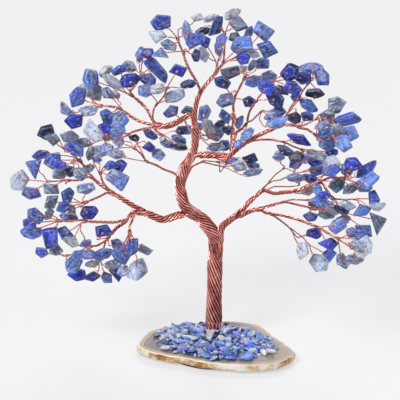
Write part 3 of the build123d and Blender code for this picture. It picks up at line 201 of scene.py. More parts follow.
# The slab's edge seen from above, in hundredths of its length and width
SLICE_EDGE_SHARES = [
    (-49.2, 1.0), (-44.5, 23.5), (-37.5, 34.5), (-30.0, 39.0), (-16.0, 45.5), (-3.0, 49.8),
    (7.0, 51.6), (19.0, 49.5), (28.0, 43.5), (32.5, 33.5), (38.0, 16.0), (44.5, 0.0),
    (49.6, -16.0), (49.0, -24.0), (46.5, -31.0), (42.0, -38.0), (35.0, -43.5), (23.5, -47.0),
    (9.5, -46.0), (0.0, -42.5), (-9.5, -38.5), (-19.0, -33.0), (-28.5, -28.0), (-40.0, -20.5),
    (-47.0, -11.0),
]
# Each ring, from the middle of the underside to the middle of the face: how far in from the edge
# it lies, its height share, how much of the edge's roughness it shows, and how far into the face
# its colour is
SLICE_RINGS = [
    (30.0, 0.0, 0.0, 0.0), (10.0, 0.0, 0.0, 0.0), (3.0, 0.0, 0.4, 0.0), (1.1, 0.02, 0.8, 0.0),
    (0.5, 0.10, 1.0, 0.0), (0.2, 0.22, 1.0, 0.0), (0.05, 0.36, 1.0, 0.0), (0.0, 0.5, 1.0, 0.0),
    (0.1, 0.64, 1.0, 0.0), (0.25, 0.78, 0.9, 0.0), (0.42, 0.9, 0.8, 0.0), (0.62, 0.97, 0.6, 0.0),
    (0.85, 1.0, 0.5, 0.0), (1.3, 1.0, 0.4, 0.45), (2.0, 1.0, 0.3, 1.15), (3.0, 1.0, 0.2, 2.15),
    (4.4, 1.0, 0.1, 3.5), (6.5, 1.0, 0.0, 5.6), (9.5, 1.0, 0.0, 8.6), (14.0, 1.0, 0.0, 13.0),
    (20.0, 1.0, 0.0, 19.0), (30.0, 1.0, 0.0, 29.0),
]
# Colours from the edge of the face inward, as far as the bands reach, and colours of the rind
SLICE_BANDS = [
    (0.0, (0.93, 0.89, 0.80)), (0.045, (0.92, 0.86, 0.74)), (0.065, (0.58, 0.37, 0.17)),
    (0.10, (0.64, 0.48, 0.29)), (0.16, (0.50, 0.41, 0.31)), (0.19, (0.235, 0.205, 0.205)),
    (0.26, (0.33, 0.285, 0.275)), (0.33, (0.215, 0.188, 0.192)), (0.45, (0.28, 0.247, 0.245)),
    (0.6, (0.21, 0.187, 0.19)), (1.0, (0.26, 0.23, 0.23)),
]
SLICE_RIND = [
    (0.30, (0.20, 0.075, 0.020)), (0.40, (0.44, 0.20, 0.065)), (0.47, (0.62, 0.42, 0.22)),
    (0.54, (0.80, 0.74, 0.64)), (0.8, (0.90, 0.88, 0.84)),
]


def value_noise(x, y, z, seed):
    """Smooth noise between -1 and 1 from a few crossed waves, for shapes."""
    chance = random.Random(seed)
    total = 0.0
    for _ in range(5):
        a, b, c, d = (chance.uniform(-1.3, 1.3) for _ in range(4))
        total = total + np.sin(a * x + b * y + c * z + 6.28 * d + np.sin(b * x - a * y))
    return total / 3.2


def ring_faces(levels, corners):
    """The faces between rings of corners that follow one another."""
    faces = []
    for k in range(0, (levels - 1) * corners, corners):
        for i in range(corners):
            j = (i + 1) % corners
            faces.append((k + i, k + j, k + corners + j, k + corners + i))
    return faces


def end_faces(levels, corners):
    """The two faces that close the first and the last ring."""
    last = (levels - 1) * corners
    return [tuple(range(corners - 1, -1, -1)), tuple(range(last, last + corners))]


def mesh_piece(name, places, faces, material, slot, **values):
    """A piece in metres from corners in millimetres, with named values at its corners."""
    data = bpy.data.meshes.new(name)
    data.from_pydata([tuple(p) for p in np.asarray(places) * MM], [], [tuple(f) for f in faces])
    data.validate()
    for key, row in values.items():
        row = np.asarray(row, dtype=np.float32)
        if row.ndim == 2:
            layer = data.attributes.new(key, "FLOAT_COLOR", "POINT")
            layer.data.foreach_set("color", row.ravel())
        else:
            layer = data.attributes.new(key, "FLOAT", "POINT")
            layer.data.foreach_set("value", row)
    data.polygons.foreach_set("use_smooth", [True] * len(data.polygons))
    data.materials.append(material)
    piece = bpy.data.objects.new(name, data)
    bpy.context.collection.objects.link(piece)
    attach(piece, "root")
    return piece


def own_place(tree):
    return tree.nodes.new("ShaderNodeTexCoord").outputs["Object"]


def cloudy(tree, place, scale, detail, roughness=0.5, distortion=0.0):
    clouds = tree.nodes.new("ShaderNodeTexNoise")
    set_plugs(clouds, Scale=scale, Detail=detail, Roughness=roughness, Distortion=distortion)
    tree.links.new(place, clouds.inputs["Vector"])
    return clouds.outputs["Fac"]


def ramped(tree, value, stops, interpolation="LINEAR"):
    """A colour that runs through stops, each a spot from 0 to 1 and the colour there."""
    node = tree.nodes.new("ShaderNodeValToRGB")
    node.color_ramp.interpolation = interpolation
    elements = node.color_ramp.elements
    for k, (spot, colour) in enumerate(stops):
        stop = elements[k] if k < 2 else elements.new(spot)
        stop.position = spot
        stop.color = colour + (1.0,)
    tree.links.new(value, node.inputs["Fac"])
    return node.outputs["Color"]


def rippled(tree, height, distance, strength, normal=None):
    """A surface's direction, rippled by a height."""
    bump = tree.nodes.new("ShaderNodeBump")
    bump.inputs["Distance"].default_value = distance
    fed(tree, bump, "Strength", strength)
    tree.links.new(height, bump.inputs["Height"])
    if normal:
        tree.links.new(normal, bump.inputs["Normal"])
    return bump.outputs["Normal"]


def curve_point(corners, share):
    """A point on the smooth curve through four corners, between the second and the third."""
    a, b, c, d = corners
    return 0.5 * (2 * b + (c - a) * share + (2 * a - 5 * b + 4 * c - d) * share**2
                  + (3 * b - a - 3 * c + d) * share**3)


def closed_curve(corners, steps):
    """A smooth closed curve, anticlockwise through corners that are given clockwise."""
    corners = np.array(corners[::-1])
    found = []
    for i in range(len(corners)):
        four = [corners[(i + k - 1) % len(corners)] for k in range(4)]
        found += [curve_point(four, share) for share in np.arange(steps) / steps]
    return np.array(found)


def spread(tree, value, least, most, low, high):
    """A value stretched from one range to another, and kept in it."""
    ranged = tree.nodes.new("ShaderNodeMapRange")
    set_plugs(ranged, From_Min=least, From_Max=most, To_Min=low, To_Max=high)
    tree.links.new(value, ranged.inputs["Value"])
    return ranged.outputs["Result"]


def laid_over(tree, share, first, second):
    """One colour laid over another; the second is a plug or a plain colour."""
    mix = tree.nodes.new("ShaderNodeMix")
    mix.data_type = "RGBA"
    tree.links.new(share, mix.inputs["Factor"])
    tree.links.new(first, mix.inputs["A"])
    fed(tree, mix, "B", second + (1.0,) if isinstance(second, tuple) else second)
    return mix.outputs["Result"]


def named_value(tree, name, plug="Fac"):
    """A value that the mesh holds at its corners under a name."""
    attribute = tree.nodes.new("ShaderNodeAttribute")
    attribute.attribute_name = name
    return attribute.outputs[plug]


slice_edge = closed_curve(
    [(x / 100 * SLICE_LENGTH, y / 100 * SLICE_WIDTH) for x, y in SLICE_EDGE_SHARES],
    SLICE_EDGE_STEPS)
count = len(slice_edge)
edge_run = slice_edge - np.roll(slice_edge, 1, axis=0)
edge_side = np.stack([edge_run[:, 1], -edge_run[:, 0]], axis=1)
edge_side = edge_side + np.roll(edge_side, -1, axis=0)
edge_side /= np.linalg.norm(edge_side, axis=1)[:, None]
edge_reach = np.linalg.norm(slice_edge, axis=1)
x, y = slice_edge.T
wobble = value_noise(x * 0.35, y * 0.35, 0.0, 5)
fine = value_noise(x * 1.4, y * 1.4, 0.0, 6)
bites = np.maximum(value_noise(x * 0.55, y * 0.55, 3.0, 21) - 0.15, 0.0)
rings = []
for inset, height, rough, _ in SLICE_RINGS:
    level = SLICE_BOTTOM + height * SLICE_THICKNESS
    lumps = value_noise(x * 0.8, y * 0.8, np.full(count, level * 1.1), 8)
    worn = RIND_WOBBLE * (1 - wobble) + RIND_LUMPS * (1 - lumps) + RIND_BITES * bites
    push = -inset - rough * worn
    if inset > 5:
        keep = np.maximum(edge_reach + push, 0.12 * edge_reach) / edge_reach
        ring = slice_edge * keep[:, None]
    else:
        ring = slice_edge + edge_side * push[:, None]
    rise = np.zeros(count) if height in (0.0, 1.0) else RIND_RISE * rough * fine
    rings.append(np.column_stack([ring, level + rise]))
faces = ring_faces(len(rings), count) + end_faces(len(rings), count)
depths = np.repeat([row[3] for row in SLICE_RINGS], count)
tops = np.repeat([1.0 if row[1] >= 0.97 else 0.0 for row in SLICE_RINGS], count)

agate_polished, tree, surface = new_material("agate_polished")
place = own_place(tree)
depth, top = named_value(tree, "depth"), named_value(tree, "top")
waver = cloudy(tree, place, 85.0, 4.0)
sway = reckoned(tree, "MULTIPLY_ADD", waver, 3.4, -1.7)
wavy = reckoned(tree, "MULTIPLY_ADD", sway, spread(tree, depth, 0.0, 4.0, 0.12, 1.0), depth)
inward = reckoned(tree, "MULTIPLY", wavy, 1 / BANDS_REACH)
bands = ramped(tree, inward, SLICE_BANDS, "EASE")
across = tree.nodes.new("ShaderNodeSeparateXYZ")
tree.links.new(place, across.inputs[0])
creamy = reckoned(tree, "MULTIPLY_ADD", waver, 0.03, across.outputs["X"])
creamy = spread(tree, creamy, 0.026, 0.044, 0.0, 0.75)
face = laid_over(tree, creamy, bands, (0.52, 0.42, 0.30))
rind = ramped(tree, cloudy(tree, place, 110.0, 7.0, 0.62), SLICE_RIND)
tree.links.new(laid_over(tree, top, rind, face), surface.inputs["Base Color"])
tree.links.new(spread(tree, top, 0.0, 1.0, 0.55, 0.14), surface.inputs["Roughness"])
set_plugs(surface, Subsurface_Weight=0.18, Subsurface_Radius=(1.0, 0.8, 0.6),
          Subsurface_Scale=0.003)
coarse = spread(tree, top, 0.0, 1.0, 0.7, 0.02)
grit = rippled(tree, cloudy(tree, place, 420.0, 6.0), 0.0005, coarse)
tree.links.new(grit, surface.inputs["Normal"])
agate = mesh_piece("agate_slab", np.concatenate(rings), faces, agate_polished, "agate",
                   depth=depths, top=tops)
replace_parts(agate, "agate_slice")


# Felt pad
# A round of dark felt, punched out and glued under the slab so that it stands without scratching.
# Its cut edge is soft and a little frayed.
PAD_DIAMETER = 44.0
PAD_THICKNESS = SLICE_BOTTOM
PAD_CORNERS = 160
PAD_FRAY = 0.006
# Each ring, from the middle of the underside to the middle of the top: its reach and height as
# shares of the pad's radius and thickness
PAD_RINGS = [
    (0.02, 0.0), (0.6, 0.0), (0.93, 0.02), (0.985, 0.18), (1.0, 0.5), (0.985, 0.85), (0.95, 1.0),
    (0.02, 1.0),
]

turns = np.arange(PAD_CORNERS) / PAD_CORNERS * 2 * math.pi
places = []
for reach, height in PAD_RINGS:
    fray = 1 + value_noise(turns * 9, turns * 0, np.full(PAD_CORNERS, height * 5), 3)
    radius = reach * PAD_DIAMETER / 2 * (1.0 - PAD_FRAY * fray * (reach > 0.9))
    level = np.full(PAD_CORNERS, height * PAD_THICKNESS)
    places.append(np.column_stack([radius * np.cos(turns), radius * np.sin(turns), level]))
faces = ring_faces(len(PAD_RINGS), PAD_CORNERS) + end_faces(len(PAD_RINGS), PAD_CORNERS)

felt_dark, tree, surface = new_material("felt_dark")
fibre = cloudy(tree, own_place(tree), 1400.0, 5.0, distortion=2.5)
shades = [(0.3, (0.012, 0.011, 0.011)), (0.75, (0.055, 0.05, 0.048))]
tree.links.new(ramped(tree, fibre, shades), surface.inputs["Base Color"])
set_plugs(surface, Roughness=0.95, Sheen_Weight=0.4)
tree.links.new(rippled(tree, fibre, 0.0004, 0.8), surface.inputs["Normal"])
pad = mesh_piece("felt_round", np.concatenate(places), faces, felt_dark, "felt")
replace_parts(pad, "felt_pad")


# Glue
# Clear glue poured over the middle of the slab, which holds the tree's foot and the fragments. It
# sets lumpy, and thinner towards its edge.
GLUE_THICKNESS = 0.6
GLUE_SHARE = 0.76
GLUE_SETBACK = 1.5
GLUE_EDGE_STEPS = 6
GLUE_TOP = SLICE_TOP + GLUE_THICKNESS
# Each ring, from the edge to the middle: its reach and height share
GLUE_RINGS = [
    (1.0, 0.0), (0.99, 0.35), (0.97, 0.6), (0.93, 0.8), (0.86, 0.92), (0.75, 1.0), (0.6, 1.0),
    (0.45, 1.0), (0.3, 1.0), (0.15, 1.0),
]
glue_edge = closed_curve(
    [(x / 100 * SLICE_LENGTH * GLUE_SHARE, y / 100 * SLICE_WIDTH * GLUE_SHARE + GLUE_SETBACK)
     for x, y in SLICE_EDGE_SHARES], GLUE_EDGE_STEPS)
count = len(glue_edge)
middle = np.array([0.0, GLUE_SETBACK])
waves = 0.02 * (1 + np.sin(np.arange(count) * 0.7))
places = []
for reach, height in GLUE_RINGS:
    ring = middle + (glue_edge - middle) * (reach - waves * (reach > 0.9))[:, None]
    lumps = 1 - 0.25 * (1 + value_noise(ring[:, 0] * 0.8, ring[:, 1] * 0.8, 0.0, 12)) * height
    places.append(np.column_stack([ring, SLICE_TOP + 0.01 + GLUE_THICKNESS * height * lumps]))
faces = ring_faces(len(GLUE_RINGS), count) + end_faces(len(GLUE_RINGS), count)[1:]

glue_clear, tree, surface = new_material("glue_clear")
set_plugs(surface, Base_Color=(0.86, 0.88, 0.90, 1.0), Roughness=0.12, IOR=1.47,
          Transmission_Weight=0.85)
ripple = rippled(tree, cloudy(tree, own_place(tree), 260.0, 3.0), 0.0004, 0.4)
tree.links.new(ripple, surface.inputs["Normal"])
glue = mesh_piece("glue_pool", np.concatenate(places), faces, glue_clear, "glue")
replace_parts(glue, "glue_bed")


# Copper tree: where it grows
# The whole tree is one rope of bare copper wire. At each fork the rope parts into thinner ropes,
# down to single twisted pairs, and each pair holds one drilled chip. This section works out where
# each rope, pair and chip is, by the same rules as the solids.
TRUNK_SETBACK = 15.0

# The wire, and the room that a twisted pair of it needs
WIRE_DIAMETER = 0.32
WIRE_FILL_SHARE = 0.86
BEND_SHARE = 3.0
MILDEST_TURN = 0.01
TWIG_LEAD = 0.8
LEAD_SHARE = 0.3
WIRE_CLEARANCE = 0.06

# The drilled chips, and the room that each leaves for the wire that holds it
STONE_LENGTH = 9.9
STONE_THICKNESS = 3.1
HOLE_DIAMETER = 0.72
HOLE_SHARE = 0.3
RIM_GAP = 0.45
STONE_CLEARANCE = 0.3
LEG_ROOM = 0.8
LEG_LIFT = 0.3
END_ROOM = 1.6
STONE_DRIFT = 1.3
STONE_TILT_DEGREES = 24
STONE_LEAN_DEGREES = 20
NARROWEST_SHARE = 0.62
THICKNESS_SHARE = 0.16
SETTLING_ROUNDS = 160

# Places in the tree: hundredths of its width across, of its height up, and of its width away
# from the trunk (minus is nearer the viewer), each as seen from the viewer's place.
# Stem: name, what it grows from, and its way
STEM_SHARES = [
    ("trunk", None, [(-0.3, 11.1, 0), (0.1, 31.4, 0)]),
    ("stem_a", "trunk", [(-3.8, 38.3, -0.5), (-6.8, 40.4, -1.0)]),
    ("stem_b", "stem_a", [(-8.7, 43.7, -1.0), (-9.3, 46.7, -0.6), (-8.8, 49.9, 0)]),
    ("stem_c", "stem_b", [(-7.6, 53.5, 0.4), (-6.0, 56.3, 0.5)]),
    ("stem_d", "stem_c", [(-5.2, 60.3, 0.5), (-5.2, 63.8, 0), (-5.4, 66.9, 0)]),
    ("stem_e", "stem_d", [(-4.9, 71.1, 0), (-3.6, 74.3, 0)]),
]

# Boughs: each limb's name, what it grows from, its way, and the stones on its end, each with
# across, up, depth from the limb's end, length, slimness, turn in degrees, number of sides, tone
BOUGH_SHARES = {
    "left_low": [
        ("a", "stem_a", [
            (-10.7, 38.7, -2.5), (-13.7, 37.4, -4), (-16.6, 38.9, -5), (-20.3, 40.1, -6)], []),
        ("b", "a", [(-25.0, 43.9, -6), (-27.5, 45.5, -5)], []),
        ("c", "b", [(-30.3, 44.3, -6.5), (-34.3, 42.5, -8.5)], [
            (-39.0, 44.7, 1, 0.85, 0.80, 60, 5, "B"), (-43.2, 42.7, -1, 1.00, 0.75, 35, 4, "G"),
            (-40.2, 41.3, -4, 0.80, 0.80, 20, 5, "B"), (-37.9, 40.5, -1, 0.70, 0.70, -50, 5, "C"),
            (-34.0, 46.4, 2, 0.90, 0.65, 10, 5, "P"), (-33.2, 39.8, -3, 0.95, 0.85, 20, 6, "R")]),
        ("d", "b", [(-29.7, 48.4, -6), (-30.3, 50.9, -8)], [
            (-27.9, 53.1, -1, 0.60, 0.80, 20, 5, "B"), (-25.3, 52.7, 2, 0.80, 0.80, 60, 5, "R"),
            (-31.3, 54.8, 1, 0.60, 0.60, -10, 5, "L"), (-26.0, 49.0, -3, 1.15, 0.75, -25, 4, "P"),
            (-33.0, 52.4, 5, 0.55, 0.80, 0, 5, "G")]),
        ("e", "b", [(-30.2, 47.5, -3), (-32.8, 49.9, -1)], []),
        ("f", "e", [(-36.0, 48.8, 2), (-38.5, 48.8, 4)], [
            (-43.3, 46.3, -3, 1.00, 0.70, -25, 4, "G"), (-40.9, 50.9, -2, 0.95, 0.75, 20, 5, "G")]),
        ("g", "f", [(-41.5, 48.6, 5), (-44.0, 48.5, 6)], [
            (-51.8, 49.0, 0, 1.20, 0.80, 65, 5, "W"), (-47.0, 52.7, -2, 1.10, 0.75, -60, 3, "B"),
            (-48.2, 45.1, -3, 1.05, 0.70, -20, 5, "L")]),
        ("h", "e", [(-34.1, 52.2, -1.5), (-35.6, 54.3, -3)], [
            (-42.8, 54.6, 1, 1.00, 0.85, 40, 5, "B"), (-41.0, 53.3, -4, 0.65, 0.80, 0, 5, "R"),
            (-38.2, 51.3, 2, 0.75, 0.80, -30, 5, "D"), (-35.9, 50.9, -3, 0.85, 0.80, -40, 5, "G"),
            (-46.0, 56.1, 4, 0.95, 0.50, -5, 5, "R")]),
        ("i", "h", [(-38.0, 56.5, -5), (-39.7, 57.9, -6)], [
            (-43.0, 60.4, -1, 0.85, 0.80, 0, 4, "G"), (-38.3, 61.2, 2, 1.00, 0.70, 10, 5, "G"),
            (-44.5, 62.5, 4, 1.00, 0.80, 35, 5, "D"), (-36.9, 57.5, -4, 1.05, 0.65, -42, 5, "B")]),
        ("j", "a", [(-23.2, 37.7, -8), (-26.5, 36.9, -10), (-34.7, 37.2, -12)], [
            (-39.5, 33.9, -2, 0.90, 0.85, 0, 4, "S"), (-37.8, 31.5, -5, 0.85, 0.65, -25, 5, "C"),
            (-38.7, 38.6, 3, 0.95, 0.45, 5, 5, "L"), (-34.3, 31.0, 1, 0.65, 0.60, 5, 5, "L")]),
        ("k", "j", [(-39.0, 37.2, -14), (-41.0, 37.4, -15)], [
            (-44.0, 39.1, 3, 0.65, 0.65, 60, 5, "G"), (-47.3, 38.9, -1, 1.00, 0.70, -25, 5, "B"),
            (-43.5, 32.9, 0, 1.15, 0.80, 85, 4, "R"), (-48.6, 34.2, -4, 1.05, 0.75, 10, 6, "B"),
            (-49.1, 36.7, 3, 0.75, 0.80, -30, 5, "R")]),
        ("l", "a", [(-23.5, 37.1, -5), (-26.0, 35.4, -4), (-28.3, 32.5, -3)], [
            (-29.2, 34.5, -8, 0.95, 0.70, 0, 4, "R"), (-25.5, 30.6, -2, 0.90, 0.65, -20, 5, "P")]),
        ("m", "l", [(-31.0, 30.4, -6), (-32.8, 30.1, -8)], [
            (-36.0, 27.7, -4, 0.85, 0.75, 30, 5, "P"), (-33.4, 28.0, -8, 0.70, 0.85, 0, 5, "L"),
            (-37.6, 25.1, 1, 0.95, 0.85, 60, 5, "S")]),
        ("n", "m", [(-36.5, 28.1, -6.5), (-39.0, 27.5, -5)], [
            (-45.6, 28.3, 2, 0.70, 0.80, -10, 5, "B"), (-42.2, 29.5, -2, 0.90, 0.75, -40, 5, "G"),
            (-36.5, 22.2, 5, 1.05, 0.70, -5, 5, "R")]),
        ("o", "l", [(-29.4, 29.6, 1), (-30.3, 26.3, 0)], [
            (-32.5, 21.5, -2, 1.00, 0.60, 5, 4, "R"), (-28.5, 21.3, -3, 0.75, 0.75, -60, 5, "L"),
            (-26.0, 22.1, 2, 0.90, 0.65, -65, 4, "R"), (-32.5, 25.2, -5, 0.80, 0.45, 3, 5, "C"),
            (-29.6, 28.0, -9, 1.15, 0.50, 28, 5, "B")]),
        ("p", "a", [(-21.7, 37.7, -9), (-22.6, 35.7, -11), (-22.5, 34.0, -12)], [
            (-21.9, 29.9, -2, 1.00, 0.65, 75, 5, "B"), (-18.4, 29.2, 2, 0.80, 0.70, -15, 4, "G"),
            (-25.0, 27.6, -7, 1.00, 0.75, -40, 5, "B"), (-20.5, 23.5, 3, 1.30, 0.75, 50, 5, "W"),
            (-24.2, 23.2, -4, 0.70, 0.80, 40, 5, "P"), (-26.9, 25.1, 4, 0.85, 0.60, 5, 6, "G")]),
    ],
    "left_back": [
        ("a", "stem_b", [
            (-10.9, 50.9, 4), (-13.7, 52.0, 9), (-15.4, 53.1, 12), (-18.0, 54.1, 15)], [
            (-26.0, 56.3, -3, 1.00, 0.62, -5, 5, "W"), (-21.4, 61.0, 4, 0.60, 0.70, -20, 5, "D")]),
        ("b", "a", [(-19.4, 56.3, 17), (-21.3, 57.9, 18)], [
            (-17.8, 58.3, 1, 0.75, 0.90, 0, 4, "R"), (-25.5, 59.8, 2, 0.75, 0.85, 80, 5, "P"),
            (-30.0, 57.0, 4, 0.95, 0.75, 0, 6, "W"), (-27.8, 61.5, 6, 0.80, 0.75, 30, 5, "B"),
            (-15.0, 56.3, 3, 0.85, 0.75, -20, 5, "P")]),
    ],
    "left_high": [
        ("a", "stem_d", [
            (-7.3, 67.2, 0.5), (-9.2, 65.8, 1.5), (-11.1, 64.6, 2), (-13.2, 64.0, 2.5),
            (-15.4, 64.2, 3)], []),
        ("b", "a", [(-15.3, 62.7, 6), (-13.8, 61.6, 9)], [
            (-17.2, 62.0, 3, 0.95, 0.55, -25, 5, "B"), (-12.9, 59.8, 0, 0.85, 0.50, -10, 5, "B"),
            (-9.6, 60.5, 5, 0.85, 0.50, -15, 5, "S"), (-9.5, 58.4, 2, 0.90, 0.50, -5, 5, "D"),
            (-8.9, 62.9, 8, 0.65, 0.75, 0, 5, "D")]),
        ("c", "a", [(-18.0, 63.6, 2), (-21.3, 62.7, 0), (-23.0, 61.9, -2)], [
            (-25.7, 63.0, -3, 0.80, 0.85, 10, 6, "S"), (-29.0, 63.5, 1, 0.80, 0.75, 0, 5, "R")]),
        ("d", "c", [(-26.0, 60.3, -4), (-29.0, 60.6, -5)], [
            (-32.4, 62.9, -3, 1.20, 0.70, -55, 4, "W"), (-32.9, 56.5, 2, 0.80, 0.50, 85, 5, "G"),
            (-28.6, 58.0, -3, 0.75, 0.80, 20, 5, "P"),
            (-34.5, 59.5, 4, 0.90, 0.50, -15, 5, "G")]),
        ("e", "a", [(-17.3, 64.7, 4), (-20.1, 65.6, 5), (-22.4, 67.0, 6), (-25.2, 69.3, 7)], [
            (-28.4, 73.5, 1, 0.85, 0.70, -50, 5, "L"), (-26.4, 73.0, 5, 0.60, 0.70, -40, 5, "C"),
            (-25.4, 65.9, -6, 1.00, 0.85, 50, 5, "S"), (-28.6, 66.7, -3, 0.95, 0.75, -35, 5, "S")]),
        ("f", "e", [(-28.0, 69.8, 8), (-30.3, 69.9, 8)], [
            (-31.6, 73.7, 2, 1.05, 0.80, -50, 5, "C"), (-36.3, 72.3, -1, 1.20, 0.80, 60, 5, "B"),
            (-34.2, 74.0, 3, 0.85, 0.65, -60, 5, "W"), (-33.5, 68.4, -4, 1.05, 0.60, -5, 5, "P"),
            (-37.1, 65.7, 0, 1.10, 0.70, 15, 5, "R"), (-39.0, 68.1, 4, 1.20, 0.50, -32, 3, "S")]),
        ("g", "a", [(-16.9, 66.7, 4.5), (-17.7, 68.5, 6.5)], []),
        ("h", "g", [(-19.6, 70.8, 8), (-22.2, 73.1, 9)], [
            (-26.9, 76.4, -2, 1.30, 0.42, -42, 4, "C"), (-22.2, 77.2, -4, 1.10, 0.65, 10, 6, "R"),
            (-25.3, 80.3, 2, 0.85, 0.60, 20, 5, "B"), (-28.8, 79.9, 4, 0.85, 0.60, 25, 5, "C"),
            (-32.8, 77.4, -1, 1.05, 0.80, 80, 5, "S")]),
        ("i", "h", [(-20.9, 75.7, 10.5), (-19.7, 78.6, 12)], [
            (-19.8, 84.5, 2, 0.90, 0.50, 85, 4, "P"), (-17.8, 84.7, -3, 0.70, 0.85, 0, 5, "R"),
            (-17.5, 77.4, -6, 0.90, 0.80, -30, 6, "B"), (-22.7, 81.1, 2, 0.85, 0.75, 0, 6, "G"),
            (-15.3, 80.2, -1, 1.60, 0.48, -43, 4, "B")]),
        ("j", "a", [(-16.5, 66.9, 2), (-16.2, 69.1, 1.5), (-15.3, 70.4, 1.5)], [
            (-18.1, 74.3, -2, 0.90, 0.80, 0, 5, "P"), (-10.6, 72.7, -2, 1.05, 0.62, 15, 6, "W")]),
        ("k", "j", [(-13.6, 72.4, 2), (-12.6, 75.0, 1)], [
            (-9.8, 80.0, -1, 0.95, 0.65, -10, 4, "R"), (-7.0, 76.2, -4, 0.85, 0.50, 5, 5, "D"),
            (-15.2, 74.6, -3, 0.85, 0.65, 15, 5, "C")]),
    ],
    "crown_left": [
        ("a", "stem_e", [
            (-4.9, 76.8, -1), (-6.8, 80.2, -2.5), (-7.9, 82.8, -3.5), (-8.3, 84.9, -4)], [
            (-14.5, 85.0, -1, 0.90, 0.65, 0, 3, "P"), (-5.2, 88.9, -3, 1.05, 0.70, 25, 5, "B"),
            (-5.1, 84.3, 3, 0.65, 0.70, 80, 5, "D")]),
        ("b", "a", [(-9.3, 87.1, -5), (-9.8, 88.9, -6)], [
            (-14.3, 93.7, 0, 1.10, 0.75, 20, 5, "B"), (-15.2, 89.5, -3, 0.95, 0.70, 0, 4, "W"),
            (-7.4, 90.9, 2, 1.25, 0.50, 85, 4, "P"), (-12.3, 87.2, -6, 0.85, 0.65, -25, 5, "G"),
            (-4.6, 95.0, 5, 0.75, 0.65, -10, 4, "W")]),
    ],
    "crown_right": [
        ("a", "stem_e", [(-2.4, 75.9, 1.5), (-0.1, 78.8, 3), (0.4, 79.8, 3.5)], []),
        ("b", "a", [(0.5, 81.9, 4)], [
            (-3.0, 84.4, -1, 0.85, 0.75, -75, 5, "W"), (1.0, 85.9, 2, 0.75, 0.50, 85, 5, "L"),
            (1.7, 88.4, -2, 0.75, 0.80, 30, 5, "L"), (-2.7, 87.8, 2, 0.75, 0.70, 80, 5, "R")]),
        ("c", "a", [(2.4, 82.3, 7)], [
            (7.5, 83.2, -1, 0.75, 0.85, 0, 6, "R"), (6.9, 87.1, 2, 1.20, 0.75, 15, 5, "S")]),
        ("d", "c", [(2.5, 86.1, 9), (2.5, 90.4, 11)], [
            (6.3, 93.1, 1, 1.10, 0.75, -5, 4, "G"), (4.7, 95.9, 5, 0.95, 0.55, 28, 5, "C"),
            (0.5, 92.3, -3, 1.15, 0.60, 75, 4, "B"), (-1.5, 94.6, 4, 0.70, 0.55, 10, 5, "W"),
            (-3.0, 91.2, 6, 0.90, 0.60, 15, 5, "D")]),
        ("e", "c", [(5.5, 83.7, 10), (8.6, 86.1, 13)], [
            (12.7, 91.2, 2, 1.05, 0.75, -35, 4, "P"), (13.7, 85.8, -1, 1.20, 0.80, -20, 4, "B"),
            (10.0, 84.7, -4, 0.85, 0.60, -35, 5, "C"), (9.0, 90.7, 4, 0.80, 0.60, 65, 5, "L"),
            (5.3, 89.4, 5, 0.70, 0.75, 0, 5, "D")]),
    ],
    "right_mid": [
        ("a", "stem_c", [(-1.2, 56.2, 0), (2.2, 55.4, -1)], []),
        ("b", "a", [(4.6, 59.7, 1), (4.9, 61.5, 2)], [
            (6.1, 59.4, -5, 0.55, 0.80, 0, 5, "S")]),
        ("c", "b", [(4.8, 63.0, 6), (4.8, 66.6, 9)], [
            (2.7, 66.9, -3, 0.85, 0.65, -55, 4, "S"), (6.4, 65.4, 2, 0.80, 0.50, 85, 5, "S"),
            (1.3, 64.9, 1, 0.75, 0.55, 10, 5, "D"), (3.5, 62.9, 4, 0.65, 0.80, 0, 5, "D")]),
        ("d", "c", [(4.8, 69.3, 11), (4.9, 71.7, 12)], [
            (2.6, 71.5, -3, 0.95, 0.75, 10, 5, "P"), (9.0, 71.2, 3, 0.70, 0.85, 0, 5, "R"),
            (1.9, 76.7, 1, 0.95, 0.70, -25, 5, "B")]),
        ("e", "d", [(6.3, 74.7, 14), (7.8, 77.8, 15)], [
            (4.2, 79.2, -2, 1.00, 0.65, 15, 4, "G"), (10.2, 76.9, -3, 0.95, 0.70, 5, 6, "P"),
            (9.8, 81.4, 1, 0.70, 0.60, 70, 5, "P"), (14.2, 78.4, 3, 0.85, 0.80, -20, 5, "P"),
            (12.1, 82.0, 4, 0.95, 0.65, -5, 5, "S"), (7.2, 80.4, 4, 0.60, 0.70, 30, 5, "C")]),
        ("f", "b", [(7.0, 63.3, 1), (8.2, 64.7, 0)], [
            (8.3, 61.6, -3, 0.95, 0.55, 28, 5, "P")]),
        ("g", "f", [(8.6, 66.3, -0.2), (9.2, 68.6, -3), (11.0, 71.4, -4)], [
            (13.8, 75.3, -2.5, 1.00, 0.75, -25, 5, "R"),
            (16.1, 71.7, -2, 1.15, 0.65, -55, 5, "R")]),
        ("h", "g", [(13.0, 74.1, 0), (15.2, 76.7, 2)], [
            (19.8, 79.6, 0, 1.15, 0.80, 20, 5, "R"), (20.6, 75.0, -3, 0.95, 0.75, -15, 5, "R"),
            (23.2, 77.9, 3, 0.90, 0.80, 0, 5, "R"),
            (17.6, 74.3, 4, 0.80, 0.65, -20, 5, "D")]),
        ("i", "f", [(9.7, 65.7, -3), (12.2, 68.3, -5)], [
            (17.0, 68.3, 1, 0.75, 0.85, 0, 5, "B"), (14.5, 67.1, -2, 0.70, 0.80, 30, 5, "P"),
            (16.4, 65.1, -4, 1.15, 0.52, 5, 5, "P")]),
        ("j", "a", [(4.9, 56.9, -2), (7.0, 58.7, -3), (9.2, 60.1, -4)], []),
        ("k", "j", [(14.2, 62.9, -4), (17.4, 64.5, -4)], []),
        ("l", "k", [(18.3, 66.3, 0), (19.8, 68.9, 3)], [
            (20.9, 66.5, 4, 0.75, 0.85, 0, 6, "D"), (24.8, 70.0, -4, 1.15, 0.60, -15, 5, "S"),
            (21.3, 72.5, 4, 0.60, 0.80, 0, 5, "R")]),
